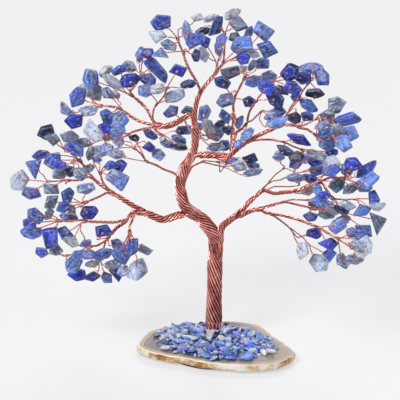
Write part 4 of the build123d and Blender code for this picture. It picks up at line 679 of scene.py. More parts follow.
        ("m", "l", [(22.0, 72.3, 5), (24.6, 76.3, 6)], [
            (25.5, 80.5, 2, 1.35, 0.55, 5, 6, "E"), (28.4, 78.1, -3, 1.05, 0.70, -65, 5, "B"),
            (26.5, 73.5, -3, 1.05, 0.60, -15, 5, "D")]),
        ("n", "k", [(20.3, 64.5, -4.5), (22.6, 64.0, -4)], [
            (24.3, 67.1, 2, 0.75, 0.75, -20, 5, "B")]),
        ("o", "n", [(24.9, 65.1, -3.5), (27.0, 66.4, -3)], [
            (29.1, 67.2, 1, 0.80, 0.75, 10, 5, "G"), (32.0, 70.0, 3, 1.10, 0.85, 20, 5, "G"),
            (35.0, 66.1, -1, 1.30, 0.50, 25, 4, "B"), (31.2, 65.6, 5, 0.65, 0.70, 0, 5, "L")]),
        ("p", "n", [(24.6, 63.2, -6), (26.6, 61.6, -8)], [
            (28.2, 64.3, 1, 0.80, 0.50, 5, 5, "P"), (29.3, 62.0, -3, 0.95, 0.65, 5, 5, "S"),
            (29.8, 59.1, 1, 1.05, 0.70, 10, 5, "P")]),
        ("q", "p", [(29.0, 60.8, -8.5), (30.6, 61.0, -8)], [
            (33.9, 59.4, -3, 1.00, 0.85, -40, 5, "P"), (32.2, 63.6, 2, 0.95, 0.55, 0, 6, "C"),
            (35.6, 62.3, 0, 0.90, 0.80, -55, 4, "P"), (32.7, 61.9, 5, 0.70, 0.75, 0, 5, "L")]),
        ("r", "j", [(12.0, 60.4, -6), (15.0, 60.4, -8), (18.3, 59.6, -10)], [
            (22.2, 60.5, -2, 1.40, 0.50, -33, 4, "R"), (18.4, 57.4, -4, 0.95, 0.60, -25, 5, "D")]),
        ("s", "r", [(20.5, 58.5, -8), (23.0, 57.5, -6)], [
            (21.5, 55.9, 1, 0.90, 0.70, -10, 5, "D"), (26.4, 56.2, -2, 1.20, 0.42, 2, 5, "W"),
            (30.7, 56.7, 2, 0.70, 0.80, 0, 5, "B"), (26.5, 54.1, 5, 0.85, 0.75, -10, 5, "R")]),
    ],
    "back_high": [
        ("a", "stem_c", [(-5.0, 58.5, 6), (-4.6, 60.1, 12), (-4.0, 61.1, 16)], [
            (-2.9, 68.0, 2, 0.95, 0.70, 65, 5, "P"), (-2.0, 64.1, -5, 0.90, 0.70, -70, 5, "C"),
            (-4.6, 64.0, 4, 0.60, 0.80, 0, 5, "B"), (-0.1, 62.1, 0, 1.05, 0.90, 0, 6, "G"),
            (0.3, 58.2, -1, 1.00, 0.52, -8, 5, "P")]),
        ("b", "a", [(-6.6, 62.7, 20), (-7.8, 65.3, 23)], [
            (-7.3, 68.6, -2, 0.75, 0.70, 0, 5, "G"), (-7.2, 63.7, -3, 0.70, 0.75, 20, 5, "S"),
            (-11.5, 68.3, 4, 0.90, 0.75, 30, 5, "B")]),
    ],
    "back_low": [
        ("a", "stem_b", [(-7.6, 49.5, 6), (-6.2, 52.7, 11), (-3.5, 54.1, 15)], []),
        ("b", "a", [(-1.0, 54.2, 15), (0.9, 54.0, 14)], [
            (4.0, 54.5, -2, 0.90, 0.60, -20, 5, "L"), (6.2, 53.0, -5, 1.00, 0.70, -20, 4, "G"),
            (9.2, 54.8, 3, 0.80, 0.75, 20, 4, "D")]),
        ("c", "a", [(-0.5, 53.3, 18), (2.5, 52.7, 19)], [
            (10.0, 52.9, 1, 0.75, 0.55, -5, 5, "B"), (10.0, 51.2, -3, 1.05, 0.42, -5, 5, "P"),
            (2.2, 58.7, 6, 0.80, 0.80, 0, 5, "B")]),
    ],
    "right_low": [
        ("a", "trunk", [(2.0, 36.0, -1), (4.6, 38.2, -2.5), (7.1, 39.7, -3.5)], []),
        ("b", "a", [(8.7, 42.4, -3), (11.6, 45.2, -2)], []),
        ("c", "b", [(12.8, 46.7, 0), (14.6, 48.5, 2)], []),
        ("d", "c", [(16.0, 50.5, 5), (18.3, 52.3, 8)], [
            (21.2, 53.4, 6, 0.80, 0.75, 20, 5, "B"), (16.8, 55.7, 3, 0.75, 0.80, 10, 5, "P")]),
        ("e", "c", [(17.2, 48.9, 4), (20.6, 50.6, 6)], [
            (26.7, 51.5, -2, 0.80, 0.85, 0, 5, "B"), (24.0, 55.1, 7, 0.80, 0.75, 20, 5, "P"),
            (28.8, 53.4, 2, 0.70, 0.80, 30, 5, "W")]),
        ("f", "b", [(15.6, 47.1, -1.5), (19.5, 47.0, -7), (21.9, 47.3, -8)], [
            (21.3, 49.6, -4, 1.00, 0.42, 0, 5, "L"), (25.2, 49.3, 1, 0.95, 0.45, -5, 5, "R")]),
        ("g", "b", [(15.6, 45.1, -7), (20.0, 45.6, -11), (21.8, 45.7, -12)], [
            (27.2, 45.9, -3, 0.85, 0.50, -75, 5, "S")]),
        ("h", "g", [(24.2, 47.1, -12), (27.3, 48.4, -12)], [
            (32.6, 48.0, 1, 0.95, 0.80, 50, 5, "T"), (31.0, 53.9, 3, 0.90, 0.80, -30, 5, "W"),
            (30.9, 51.3, -3, 0.95, 0.62, 25, 5, "B")]),
        ("i", "h", [(30.5, 49.7, -14), (33.7, 49.5, -15)], [
            (40.1, 51.8, -1, 1.30, 0.50, 18, 4, "B"), (40.7, 48.9, -4, 1.00, 0.70, 45, 4, "P"),
            (34.5, 51.7, 2, 0.75, 0.80, -40, 5, "L"), (36.6, 53.3, -3, 1.00, 0.75, -10, 5, "R"),
            (35.9, 46.6, -3, 0.95, 0.60, 20, 5, "T"), (39.4, 46.6, 2, 0.90, 0.60, 0, 5, "P")]),
        ("j", "h", [(29.4, 46.1, -14), (31.2, 43.7, -16)], [
            (33.3, 40.8, 2, 0.80, 0.65, -35, 5, "D"), (34.9, 41.9, -3, 0.90, 0.55, -35, 4, "W"),
            (27.6, 43.1, 3, 0.85, 0.70, 10, 5, "S"), (29.1, 44.5, -1, 0.65, 0.75, 0, 5, "R")]),
        ("k", "j", [(33.8, 43.4, -19), (37.2, 43.5, -20)], [
            (42.1, 43.6, 1, 0.90, 0.65, -80, 5, "B"), (42.7, 41.3, -3, 0.90, 0.50, -12, 3, "W"),
            (38.6, 40.3, -1, 1.00, 0.65, 25, 4, "S")]),
        ("l", "a", [(9.6, 40.3, -5), (11.9, 40.7, -6)], []),
        ("m", "l", [(15.0, 41.8, -5), (18.0, 42.7, -5)], []),
        ("n", "m", [(20.5, 43.4, -3), (24.5, 43.2, -2)], [
            (29.4, 41.7, 5, 0.90, 0.80, 20, 5, "P"), (26.2, 41.7, 7, 0.70, 0.80, 0, 5, "D"),
            (24.6, 46.0, 5, 0.80, 0.75, 0, 5, "G")]),
        ("o", "m", [(22.3, 41.8, -8), (25.2, 41.1, -9)], [
            (25.1, 38.5, -3, 0.85, 0.65, -10, 5, "R"), (29.4, 39.3, 1, 0.85, 0.70, 0, 6, "G"),
            (31.3, 40.4, -4, 0.75, 0.60, -15, 5, "C")]),
        ("p", "o", [(29.0, 40.0, -11), (32.6, 39.7, -12)], [
            (33.9, 38.0, 1, 0.80, 0.65, 0, 5, "G"), (39.3, 34.7, -3, 0.95, 0.70, -5, 4, "B"),
            (43.0, 37.4, -1, 1.20, 0.75, -55, 3, "G")]),
        ("q", "l", [(13.2, 39.7, -8), (15.0, 39.2, -10)], []),
        ("r", "q", [(18.3, 38.8, -13), (22.5, 37.5, -16), (27.1, 35.6, -19)], [
            (29.8, 30.8, -3, 1.05, 0.70, -15, 4, "R"), (32.3, 36.0, 0, 0.95, 0.75, 30, 5, "P")]),
        ("s", "r", [(29.4, 34.1, -21), (32.2, 32.5, -23)], [
            (36.3, 34.1, 2, 0.70, 0.80, 0, 5, "L"), (38.5, 32.1, -1, 0.75, 0.75, -40, 5, "S"),
            (33.7, 26.1, 0, 0.85, 0.75, -35, 5, "G")]),
        ("t", "s", [(34.2, 31.1, -25), (36.2, 29.7, -27)], [
            (36.9, 26.5, -1, 0.95, 0.60, -5, 5, "G"), (38.6, 28.0, -5, 0.65, 0.75, 0, 5, "C"),
            (40.1, 30.3, 0, 0.90, 0.70, -60, 5, "W"), (37.4, 30.5, -5, 0.70, 0.65, -20, 5, "G")]),
        ("u", "q", [(17.1, 37.6, -10), (18.7, 36.3, -9), (20.1, 34.9, -8)], [
            (26.0, 33.6, -1, 0.80, 0.80, 20, 5, "R"), (23.2, 28.8, -4, 0.95, 0.70, 75, 5, "W")]),
        ("v", "u", [(23.2, 32.7, -7), (24.8, 30.7, -7)], [
            (27.5, 25.3, -3, 1.05, 0.90, -30, 6, "W"), (29.7, 27.4, 3, 0.85, 0.75, 50, 5, "B")]),
    ],
}

WIRE_RADIUS = WIRE_DIAMETER / 2
PAIR_RADIUS = WIRE_DIAMETER
HOLE_RADIUS = HOLE_DIAMETER / 2
TWIG_BEND = BEND_SHARE * PAIR_RADIUS


# Arithmetic on places given as three numbers
def plus(a, b, share=1.0):
    return (a[0] + b[0] * share, a[1] + b[1] * share, a[2] + b[2] * share)


def minus(a, b):
    return (a[0] - b[0], a[1] - b[1], a[2] - b[2])


def dot(a, b):
    return a[0] * b[0] + a[1] * b[1] + a[2] * b[2]


def cross(a, b):
    return (a[1] * b[2] - a[2] * b[1], a[2] * b[0] - a[0] * b[2], a[0] * b[1] - a[1] * b[0])


def size_of(a):
    return math.sqrt(dot(a, a))


def unit(a):
    size = size_of(a) or 1.0
    return (a[0] / size, a[1] / size, a[2] / size)


def toward(a, b, share):
    return plus(a, minus(b, a), share)


def flattened(a, axis):
    """The part of a that lies square to an axis."""
    return plus(a, axis, -dot(a, axis))


def swung(first, second, degrees):
    angle = math.radians(degrees)
    mixed = tuple(c * math.cos(angle) for c in first)
    return plus(mixed, second, math.sin(angle))


def square_to(axis):
    other = (0.0, 0.0, 1.0) if abs(axis[2]) < 0.9 else (0.0, 1.0, 0.0)
    side = unit(cross(axis, other))
    return side, cross(axis, side)


def sight(across, up, depth):
    height = up / 100 * TREE_HEIGHT
    seen = (across / 100 * TREE_WIDTH, height * VIEW_SINE, height * VIEW_COSINE)
    ray = minus(seen, VIEWER)
    far = (TRUNK_SETBACK + depth / 100 * TREE_WIDTH - VIEWER[1]) / ray[1]
    return plus(VIEWER, ray, far)


# Limbs: ropes of twisted wire, each as thick as the wires that run on in it
def bundle_radius(stone_count):
    return max(PAIR_RADIUS, WIRE_RADIUS * math.sqrt(2 * stone_count / WIRE_FILL_SHARE))


def limb_rows():
    """The rows of both tables in one list, each limb with its full name."""
    rows = [("stem", key, parent, route, []) for key, parent, route in STEM_SHARES]
    stem = [row[1] for row in rows]
    for bough, members in BOUGH_SHARES.items():
        for key, parent, route, stones in members:
            parent = parent if parent in stem else f"{bough}_{parent}"
            rows.append((bough, f"{bough}_{key}", parent, route, stones))
    return rows


def grow_limbs():
    limbs = {}
    for bough, key, parent, route, stones in limb_rows():
        limb = SimpleNamespace(bough=bough, key=key, parent=parent, depth=route[-1][2])
        limb.route = [sight(*place) for place in route]
        limb.rows = stones
        limb.stones = []
        limbs[key] = limb
    for limb in limbs.values():
        limb.limbs = [other for other in limbs.values() if other.parent == limb.key]
    count_stones(limbs["trunk"])
    return limbs


def count_stones(limb):
    limb.count = len(limb.rows) + sum(count_stones(child) for child in limb.limbs)
    limb.radius = bundle_radius(limb.count)
    return limb.count


def fork_places(radii):
    """Where the parts that leave a fork start, side by side in a ring round its middle."""
    if len(radii) == 1:
        return [(0.0, 0.0)]
    low = (radii[0] + radii[1] + WIRE_CLEARANCE) / 2 if len(radii) == 2 else max(radii) / 2
    ring = low
    high = sum(radii) * 2
    for _ in range(50 if len(radii) > 2 else 0):
        ring = (low + high) / 2
        total = sum(ring_angle(radii, i, ring) for i in range(len(radii)))
        if total > 2 * math.pi:
            low = ring
        else:
            high = ring
    ring = high if len(radii) > 2 else ring
    places = []
    angle = 0.0
    for i in range(len(radii)):
        angle += ring_angle(radii, i, ring) if i else 0.0
        places.append((ring * math.cos(angle), ring * math.sin(angle)))
    middle = [sum(r * p[k] for r, p in zip(radii, places)) / sum(radii) for k in range(2)]
    return [(p[0] - middle[0], p[1] - middle[1]) for p in places]


def ring_angle(radii, i, ring):
    reach = (radii[i] + radii[i - 1] + WIRE_CLEARANCE) / (2 * ring)
    return 2 * math.asin(min(1.0, reach))


def lead_of(start, heading, radius, goal):
    """The first straight run out of a fork, long enough for the bend that follows it."""
    least = TWIG_LEAD + LEAD_SHARE * radius
    length = least
    for _ in range(3):
        bend = dot(heading, unit(minus(goal, plus(start, heading, length))))
        half = math.tan(math.acos(max(-0.5, min(1.0, bend))) / 2)
        length = max(least, min(2.8 * half, 3.2) * radius)
    return plus(start, heading, length)


def set_ways(limbs):
    """The way of each limb, and where each twig starts."""
    foot = limbs["trunk"].route[0]
    limbs["trunk"].way = [(foot[0], foot[1], SLICE_TOP)] + limbs["trunk"].route
    for limb in limbs.values():
        end = limb.way[-1]
        limb.heading = unit(minus(end, limb.way[-2]))
        if limb.bough == "stem":
            for child in limb.limbs:
                if child.bough == "stem":
                    lead = lead_of(end, limb.heading, child.radius, child.route[0])
                    child.way = [end, lead] + child.route
                else:
                    child.way = [plus(end, limb.heading, -0.5 * limb.radius)] + child.route
            continue
        set_fork(limb, end)


def set_fork(limb, end):
    side, other = square_to(limb.heading)
    parts = [(minus(child.route[0], end), child.radius, child) for child in limb.limbs]
    parts += [(minus(stone.centre, end), PAIR_RADIUS, stone) for stone in limb.stones]
    parts.sort(key=lambda part: math.atan2(dot(part[0], other), dot(part[0], side)))
    places = fork_places([part[1] for part in parts])
    pull = [0.0, 0.0]
    for (away, radius, part), place in zip(parts, places):
        u, v = dot(away, side), dot(away, other)
        pull[0] += u * place[0] + v * place[1]
        pull[1] += v * place[0] - u * place[1]
    turn = math.degrees(math.atan2(pull[1], pull[0])) if len(parts) > 1 else 0.0
    first, second = swung(side, other, turn), swung(other, side, -turn)
    for (away, radius, part), place in zip(parts, places):
        part.start = plus(plus(end, first, place[0]), second, place[1])
        if hasattr(part, "route"):
            lead = lead_of(part.start, limb.heading, radius, part.route[0])
            part.way = [part.start, lead] + part.route
        else:
            part.lead = plus(part.start, limb.heading, TWIG_LEAD + LEAD_SHARE * radius)


# Stones: a drilled chip is a flat many-sided gem with a bevel on each face
def local(stone, place):
    spot = (0.0, 0.0, 0.0)
    for axis, amount in zip(stone.axes, place):
        spot = plus(spot, axis, amount)
    return spot


def fitted(corners, length, width):
    """An outline stretched to a length and a width."""
    for k, size in ((0, length), (1, width)):
        low = min(corner[k] for corner in corners)
        high = max(corner[k] for corner in corners)
        stretch = size / (high - low)
        middle = (low + high) / 2
        for i, corner in enumerate(corners):
            moved = list(corner)
            moved[k] = (corner[k] - middle) * stretch
            corners[i] = tuple(moved)
    return corners


def uneven_corners(sides, chance):
    turn = chance.uniform(0, 2 * math.pi)
    corners = []
    for i in range(sides):
        angle = turn + 2 * math.pi * (i + chance.uniform(-0.2, 0.2)) / sides
        reach = chance.uniform(0.88, 1.1)
        corners.append((reach * math.cos(angle), reach * math.sin(angle)))
    return corners


def make_stone(limb, row, number):
    across, up, away, length, slim, turn, sides, tone = row
    chance = random.Random(number)
    stone = SimpleNamespace(limb=limb, number=number, tone=tone)
    stone.centre = sight(across, up, limb.depth + away)
    stone.seen = stone.centre
    stone.toward = unit(minus(VIEWER, stone.centre))
    right = unit(cross((0.0, 0.0, 1.0), stone.toward))
    long_axis = swung(right, cross(stone.toward, right), turn)
    wide_axis = cross(stone.toward, long_axis)
    long_size = length * STONE_LENGTH
    wide_size = max(slim, NARROWEST_SHARE) * long_size
    stone.half = STONE_THICKNESS * (0.6 + 0.4 * length) * chance.uniform(0.8, 1.15) / 2
    tilt = chance.uniform(-STONE_TILT_DEGREES, STONE_TILT_DEGREES)
    if slim < NARROWEST_SHARE:
        side = 1 if chance.random() < 0.75 else -1
        tilt = side * math.degrees(math.acos((slim - THICKNESS_SHARE) / NARROWEST_SHARE))
    wide_axis, face = swung(wide_axis, stone.toward, tilt), swung(stone.toward, wide_axis, -tilt)
    lean = chance.uniform(-STONE_LEAN_DEGREES, STONE_LEAN_DEGREES)
    long_axis, face = swung(long_axis, face, lean), swung(face, long_axis, -lean)
    stone.axes = (long_axis, wide_axis, face)
    stone.corners = fitted(uneven_corners(sides, chance), long_size, wide_size)
    stone.shrinks = (chance.uniform(0.6, 0.78), chance.uniform(0.55, 0.75))
    add_stone_bounds(stone)
    return stone


def add_stone_bounds(stone):
    stone.points = []
    stone.planes = []
    for shrink, lift in ((1.0, 0.0), (stone.shrinks[0], 1.0), (stone.shrinks[1], -1.0)):
        for x, y in stone.corners:
            stone.points.append(local(stone, (x * shrink, y * shrink, lift * stone.half)))
    for lift, shrink in ((1.0, stone.shrinks[0]), (-1.0, stone.shrinks[1])):
        stone.planes.append((local(stone, (0.0, 0.0, lift)), stone.half, True))
        for i, (x, y) in enumerate(stone.corners):
            x0, y0 = stone.corners[i - 1]
            run = (x - x0, y - y0, 0.0)
            normal = unit(cross(run, (x0 * (shrink - 1), y0 * (shrink - 1), lift * stone.half)))
            if normal[0] * x + normal[1] * y < 0:
                normal = minus((0.0, 0.0, 0.0), normal)
            stone.planes.append((local(stone, normal), normal[0] * x + normal[1] * y, False))
    stone.reach = max(size_of(point) for point in stone.points)


def outside(stone, point, enough, legs):
    """How far a point lies clear of a stone, with room for the wire legs on its two faces."""
    away = minus(point, stone.centre)
    best = -stone.reach
    for normal, distance, flat in stone.planes:
        best = max(best, dot(away, normal) - distance - (legs if flat else 0.0))
        if best > enough:
            break
    return best


# Settling: stones slide along the line of sight until none touches another or a limb
def seen_apart(stone, point):
    return size_of(flattened(minus(point, stone.seen), stone.toward))


def limb_beads(limbs):
    beads = []
    for limb in limbs.values():
        for a, b in zip(limb.way, limb.way[1:]):
            steps = max(1, int(size_of(minus(b, a)) / STONE_LENGTH * 8))
            beads += [(toward(a, b, i / steps), limb.radius) for i in range(steps + 1)]
    return beads


def lacking_room(one, other):
    """The axis on which two stones part with the least slide, and how much room lacks on it."""
    apart = minus(other.centre, one.centre)
    best = None
    faces = (one.axes[2], other.axes[2])
    sides = (unit(apart), unit(flattened(apart, faces[0])), unit(flattened(apart, faces[1])))
    for axis in faces + sides:
        if dot(axis, apart) < 0:
            axis = minus((0.0, 0.0, 0.0), axis)
        near = max(dot(point, axis) for point in one.points)
        far = dot(apart, axis) + min(dot(point, axis) for point in other.points)
        gap = far - near
        facing = max(abs(dot(axis, face)) for face in faces)
        lack = STONE_CLEARANCE + LEG_ROOM * facing ** 4 - gap
        if lack <= 0:
            return None
        cost = lack / max(abs(dot(axis, one.toward)), 0.05)
        if best is None or cost < best[0]:
            best = (cost, lack, axis)
    return best


def part_stones(one, other):
    apart = minus(other.centre, one.centre)
    if size_of(apart) > one.reach + other.reach + STONE_CLEARANCE:
        return 0.0
    best = lacking_room(one, other)
    if best is None:
        return 0.0
    cost, lack, axis = best
    slide = min(cost, STONE_THICKNESS / 2) / 2 * (1 if dot(apart, one.toward) > 0 else -1)
    side = flattened(axis, one.toward)
    nudge = min(lack, STONE_THICKNESS / 3) * 0.12
    one.centre = plus(plus(one.centre, one.toward, -slide), side, -nudge)
    other.centre = plus(plus(other.centre, other.toward, slide), side, nudge)
    return lack


def clear_limbs(stone, beads):
    worst = 0.0
    for point, radius in beads:
        away = minus(stone.centre, point)
        if size_of(away) > stone.reach + radius + 2 * LEG_ROOM:
            continue
        found = outside(stone, point, radius + 2 * LEG_ROOM, LEG_ROOM)
        lack = STONE_CLEARANCE * 1.3 + radius - found
        if lack > 0:
            slide = 0.6 * min(lack, LEG_ROOM) * (1 if dot(away, stone.toward) > 0 else -1)
            stone.centre = plus(stone.centre, stone.toward, slide)
            worst = max(worst, lack)
    end = stone.limb.way[-1]
    lack = END_ROOM + stone.limb.radius - outside(stone, end, STONE_LENGTH, LEG_ROOM)
    if lack > 0:
        away = unit(minus(stone.centre, end))
        stone.centre = plus(stone.centre, away, 0.6 * min(lack, WIRE_DIAMETER))
        worst = max(worst, 0.2 * lack)
    drift = minus(stone.centre, stone.seen)
    along = dot(drift, stone.toward)
    side = flattened(drift, stone.toward)
    if size_of(side) > STONE_DRIFT:
        stone.centre = plus(plus(stone.seen, stone.toward, along), unit(side), STONE_DRIFT)
    return worst


def settle(stones, limbs):
    beads = limb_beads(limbs)
    pairs = []
    for i, one in enumerate(stones):
        reach = one.reach + LEG_ROOM
        near = [other for other in stones[:i] if seen_apart(one, other.seen) < reach + other.reach]
        pairs += [(one, other) for other in near]
        one.beads = [bead for bead in beads if seen_apart(one, bead[0]) < reach + bead[1]]
    for _ in range(SETTLING_ROUNDS):
        worst = max(part_stones(one, other) for one, other in pairs)
        worst = max(worst, max(clear_limbs(stone, stone.beads) for stone in stones))
        if worst < WIRE_CLEARANCE / 3:
            break


# Twigs: each pair of wire ends finds a clear way from its fork to the rim of its stone
def rim_reach(stone, heading):
    best = stone.reach * 2
    for i, (x, y) in enumerate(stone.corners):
        x0, y0 = stone.corners[i - 1]
        run = (x - x0, y - y0)
        down = run[0] * heading[1] - run[1] * heading[0]
        if down:
            far = (run[0] * y0 - run[1] * x0) / down
            best = far if 0 < far < best else best
    return best


def bend_room(way, radius):
    """Whether each corner of a way leaves room to bend a bundle of this radius."""
    for before, corner, after in zip(way, way[1:], way[2:]):
        back, ahead = minus(corner, before), minus(after, corner)
        shorter = min(size_of(back), size_of(ahead))
        turn = dot(unit(back), unit(ahead))
        half = math.tan(math.acos(max(-1.0, min(1.0, turn))) / 2)
        if turn < -0.35 or 0.49 * shorter < half * radius * 1.08:
            return False
    return True


def rounded(way, bend):
    """A way as points, with each corner drawn as the arc that bends it."""
    points = [way[0]]
    for before, corner, after in zip(way, way[1:], way[2:]):
        back, ahead = minus(before, corner), minus(after, corner)
        shorter = min(size_of(back), size_of(ahead))
        back, ahead = unit(back), unit(ahead)
        turn = math.acos(max(-1.0, min(1.0, -dot(back, ahead))))
        if turn < MILDEST_TURN:
            continue
        half = math.tan(turn / 2)
        cut = min(bend * half, 0.49 * shorter)
        radius = cut / half
        middle = plus(corner, unit(plus(back, ahead)), radius / math.cos(turn / 2))
        across = unit(minus(plus(corner, back, cut), middle))
        along = minus((0.0, 0.0, 0.0), back)
        steps = 4 if turn > 0.5 else 2
        for i in range(steps + 1):
            angle = turn * i / steps
            reach = plus(tuple(c * math.cos(angle) for c in across), along, math.sin(angle))
            points.append(plus(middle, reach, radius))
    return points + [way[-1]]


def runs_of(way, radius, bend):
    points = rounded(way, bend)
    return [(a, b, radius) for a, b in zip(points, points[1:])]


def wire_gap(point, own, near):
    best = STONE_LENGTH
    px, py, pz = point
    for (ax, ay, az), (bx, by, bz), radius in near:
        rx, ry, rz = bx - ax, by - ay, bz - az
        ax, ay, az = px - ax, py - ay, pz - az
        share = (ax * rx + ay * ry + az * rz) / (rx * rx + ry * ry + rz * rz)
        share = 0.0 if share < 0.0 else 1.0 if share > 1.0 else share
        gap = math.dist((ax, ay, az), (rx * share, ry * share, rz * share)) - radius - own
        best = gap if gap < best else best
    return best


def way_gap(way, stone, blocks, near, behind, enough):
    """The least gap along a twig, or the first one found to be below enough."""
    worst = STONE_LENGTH
    heading = unit(minus(way[1], way[0]))
    points = rounded(way, TWIG_BEND)
    for a, b in zip(points, points[1:]):
        steps = max(1, int(size_of(minus(b, a)) / STONE_LENGTH * 18))
        for i in range(1, steps + 1):
            point = toward(a, b, i / steps)
            from_fork = size_of(minus(point, way[0]))
            if from_fork < TWIG_LEAD / 2:
                continue
            for other in blocks:
                if size_of(minus(point, other.centre)) < other.reach + 2 * LEG_ROOM:
                    gap = outside(other, point, LEG_ROOM, LEG_ROOM * 0.7) - PAIR_RADIUS
                    worst = min(worst, gap - WIRE_CLEARANCE * 1.3)
            if size_of(minus(point, way[-1])) > 2 * TWIG_LEAD:
                worst = min(worst, outside(stone, point, LEG_ROOM, LEG_ROOM / 2) - PAIR_RADIUS)
            needed = WIRE_CLEARANCE * (0.1 if from_fork < 4 * TWIG_LEAD else 0.8)
            worst = min(worst, wire_gap(point, PAIR_RADIUS, near) - needed)
            if from_fork > TWIG_LEAD and dot(minus(point, way[0]), heading) < PAIR_RADIUS:
                worst = min(worst, wire_gap(point, PAIR_RADIUS, behind) - needed)
            if worst < enough:
                return worst
    return worst


def loop_legs(stone, heading, rim):
    """The two legs of the wire loop that holds a stone: from its rim over each face to its hole."""
    outward = local(stone, heading + (0.0,))
    face = stone.axes[2]
    lift = stone.half + LEG_LIFT
    root = plus(stone.centre, outward, rim + RIM_GAP + WIRE_DIAMETER)
    hole = plus(stone.centre, outward, rim * HOLE_SHARE)
    legs = []
    for side, shrink in ((1.0, stone.shrinks[0]), (-1.0, stone.shrinks[1])):
        leave = plus(root, face, side * WIRE_RADIUS)
        brow = plus(plus(stone.centre, outward, rim * shrink + WIRE_RADIUS), face, side * lift)
        legs.append([leave, brow, plus(hole, face, side * lift)])
    return legs


def leg_gap(legs, near):
    worst = STONE_LENGTH
    for leg in legs:
        for a, b in zip(leg, leg[1:]):
            for i in range(8):
                gap = wire_gap(toward(a, b, i / 7), WIRE_RADIUS, near)
                worst = min(worst, gap - WIRE_CLEARANCE)
    return worst


def twig_ways(stone):
    """Possible ways for a twig, the plainest first, with the side of the stone they come to."""
    home = minus(stone.lead, stone.centre)
    bearing = math.degrees(math.atan2(dot(home, stone.axes[1]), dot(home, stone.axes[0])))
    swings = (0, 25, -25, 50, -50, 75, -75, 105, -105, 140, -140, 180)
    for stretch, swing in [(stretch, swing) for stretch in (1.0, 2.4) for swing in swings]:
        lead = toward(stone.start, stone.lead, stretch)
        angle = math.radians(bearing + swing)
        heading = (math.cos(angle), math.sin(angle))
        rim = rim_reach(stone, heading)
        outward = local(stone, heading + (0.0,))
        end = plus(stone.centre, outward, rim + RIM_GAP)
        arrive = plus(end, outward, TWIG_LEAD * 1.25)
        run = minus(arrive, lead)
        side, other = square_to(unit(run))
        yield [stone.start, lead, arrive, end], heading, rim
        for bow in (0.18, 0.35, 0.6):
            for spin in range(6):
                offset = swung(side, other, spin * 60)
                bulge = bow * max(size_of(run), STONE_THICKNESS)
                knee = plus(toward(lead, arrive, 0.5), offset, bulge)
                yield [stone.start, lead, knee, arrive, end], heading, rim


def best_twig(stone, stones, runs):
    """The first clear way for a twig, or else the clearest one."""
    middle = toward(stone.start, stone.centre, 0.5)
    room = size_of(minus(stone.centre, stone.start)) / 2 + STONE_LENGTH
    near = []
    for run in runs:
        away = minus(toward(run[0], run[1], 0.5), middle)
        if size_of(away) < room + size_of(minus(run[1], run[0])) / 2 and run not in stone.limb.runs:
            near.append(run)
    blocks = [
        s for s in stones
        if s is not stone and size_of(minus(s.centre, middle)) < room + s.reach
    ]
    best = None
    for way, heading, rim in twig_ways(stone):
        if not bend_room(way, PAIR_RADIUS):
            continue
        gap = leg_gap(loop_legs(stone, heading, rim), near + stone.limb.runs)
        if best is None or gap > best[0]:
            enough = min(0.0, best[0]) if best else -STONE_LENGTH
            gap = min(gap, way_gap(way, stone, blocks, near, stone.limb.runs, enough))
            if best is None or gap > best[0]:
                best = (gap, way, heading, rim)
        if best[0] >= 0:
            break
    return best


def route_twigs(stones, limbs):
    """Each limb's twigs in turn, in whichever order leaves them all clear."""
    runs = []
    for limb in limbs.values():
        limb.runs = runs_of(limb.way, limb.radius, BEND_SHARE * limb.radius)
        runs += limb.runs
    for limb in limbs.values():
        best = None
        for first in range(max(1, len(limb.stones))):
            made = []
            choices = []
            for stone in limb.stones[first:] + limb.stones[:first]:
                choice = best_twig(stone, stones, runs + made)
                choices.append((stone, choice))
                made += runs_of(choice[1], PAIR_RADIUS, TWIG_BEND)
                for leg in loop_legs(stone, choice[2], choice[3]):
                    made += [(a, b, WIRE_RADIUS) for a, b in zip(leg, leg[1:])]
            worst = min([choice[0] for stone, choice in choices] or [0.0])
            if best is None or worst > best[0]:
                best = (worst, choices, made)
            if worst >= 0:
                break
        runs += best[2]
        for stone, choice in best[1]:
            _, stone.way, stone.heading, stone.rim = choice


def grow_tree():
    limbs = grow_limbs()
    stones = []
    for limb in limbs.values():
        for row in limb.rows:
            stone = make_stone(limb, row, len(stones))
            limb.stones.append(stone)
            stones.append(stone)
    set_ways(limbs)
    settle(stones, limbs)
    set_ways(limbs)
    route_twigs(stones, limbs)
    return limbs, stones


limbs, stones = grow_tree()


# Ground fragments
# Chips and slivers of the same stones as on the tree, broken on all sides. They are tipped into the
# glue in a low heap round the trunk that leaves the slab's rim bare, and lie at all angles.
GOLDEN_ANGLE = 2.399963
RIM_SHARE = 0.42
TRUNK_RING = 5.2
TRUNK_RING_STEP = 1.3
BROKEN_SHARPNESS = 45
BROKEN_ROUGHNESS = 0.012
BROKEN_SHADES = (0.9, 2.3)
BROKEN_WIDTHS = (0.26, 0.4, 0.55, 0.7, 0.85)
BROKEN_TONES = "RBBPPPSSSPLWWWWWWWWWWCCCCGGDDTLPPRSWW"
# Three layers, a ring round the trunk and long slivers on top: how many pieces, their least and
# greatest length, how far out on the slab they reach, how high they lie on it, how far they tip,
# and the width shares and tones that they have
GROUND_LAYERS = [
    (270, 2.2, 5.2, 0.415, 0.05, 0.18, BROKEN_WIDTHS, BROKEN_TONES),
    (190, 1.8, 5.6, 0.385, 0.85, 0.30, BROKEN_WIDTHS, BROKEN_TONES),
    (80, 1.6, 5.2, 0.30, 1.5, 0.36, BROKEN_WIDTHS, BROKEN_TONES),
    (34, 2.2, 4.4, 0.0, 2.0, 0.30, BROKEN_WIDTHS, BROKEN_TONES),
    (14, 5.5, 9.0, 0.33, 2.3, 0.10, (0.2, 0.3), "WWSCP"),
]
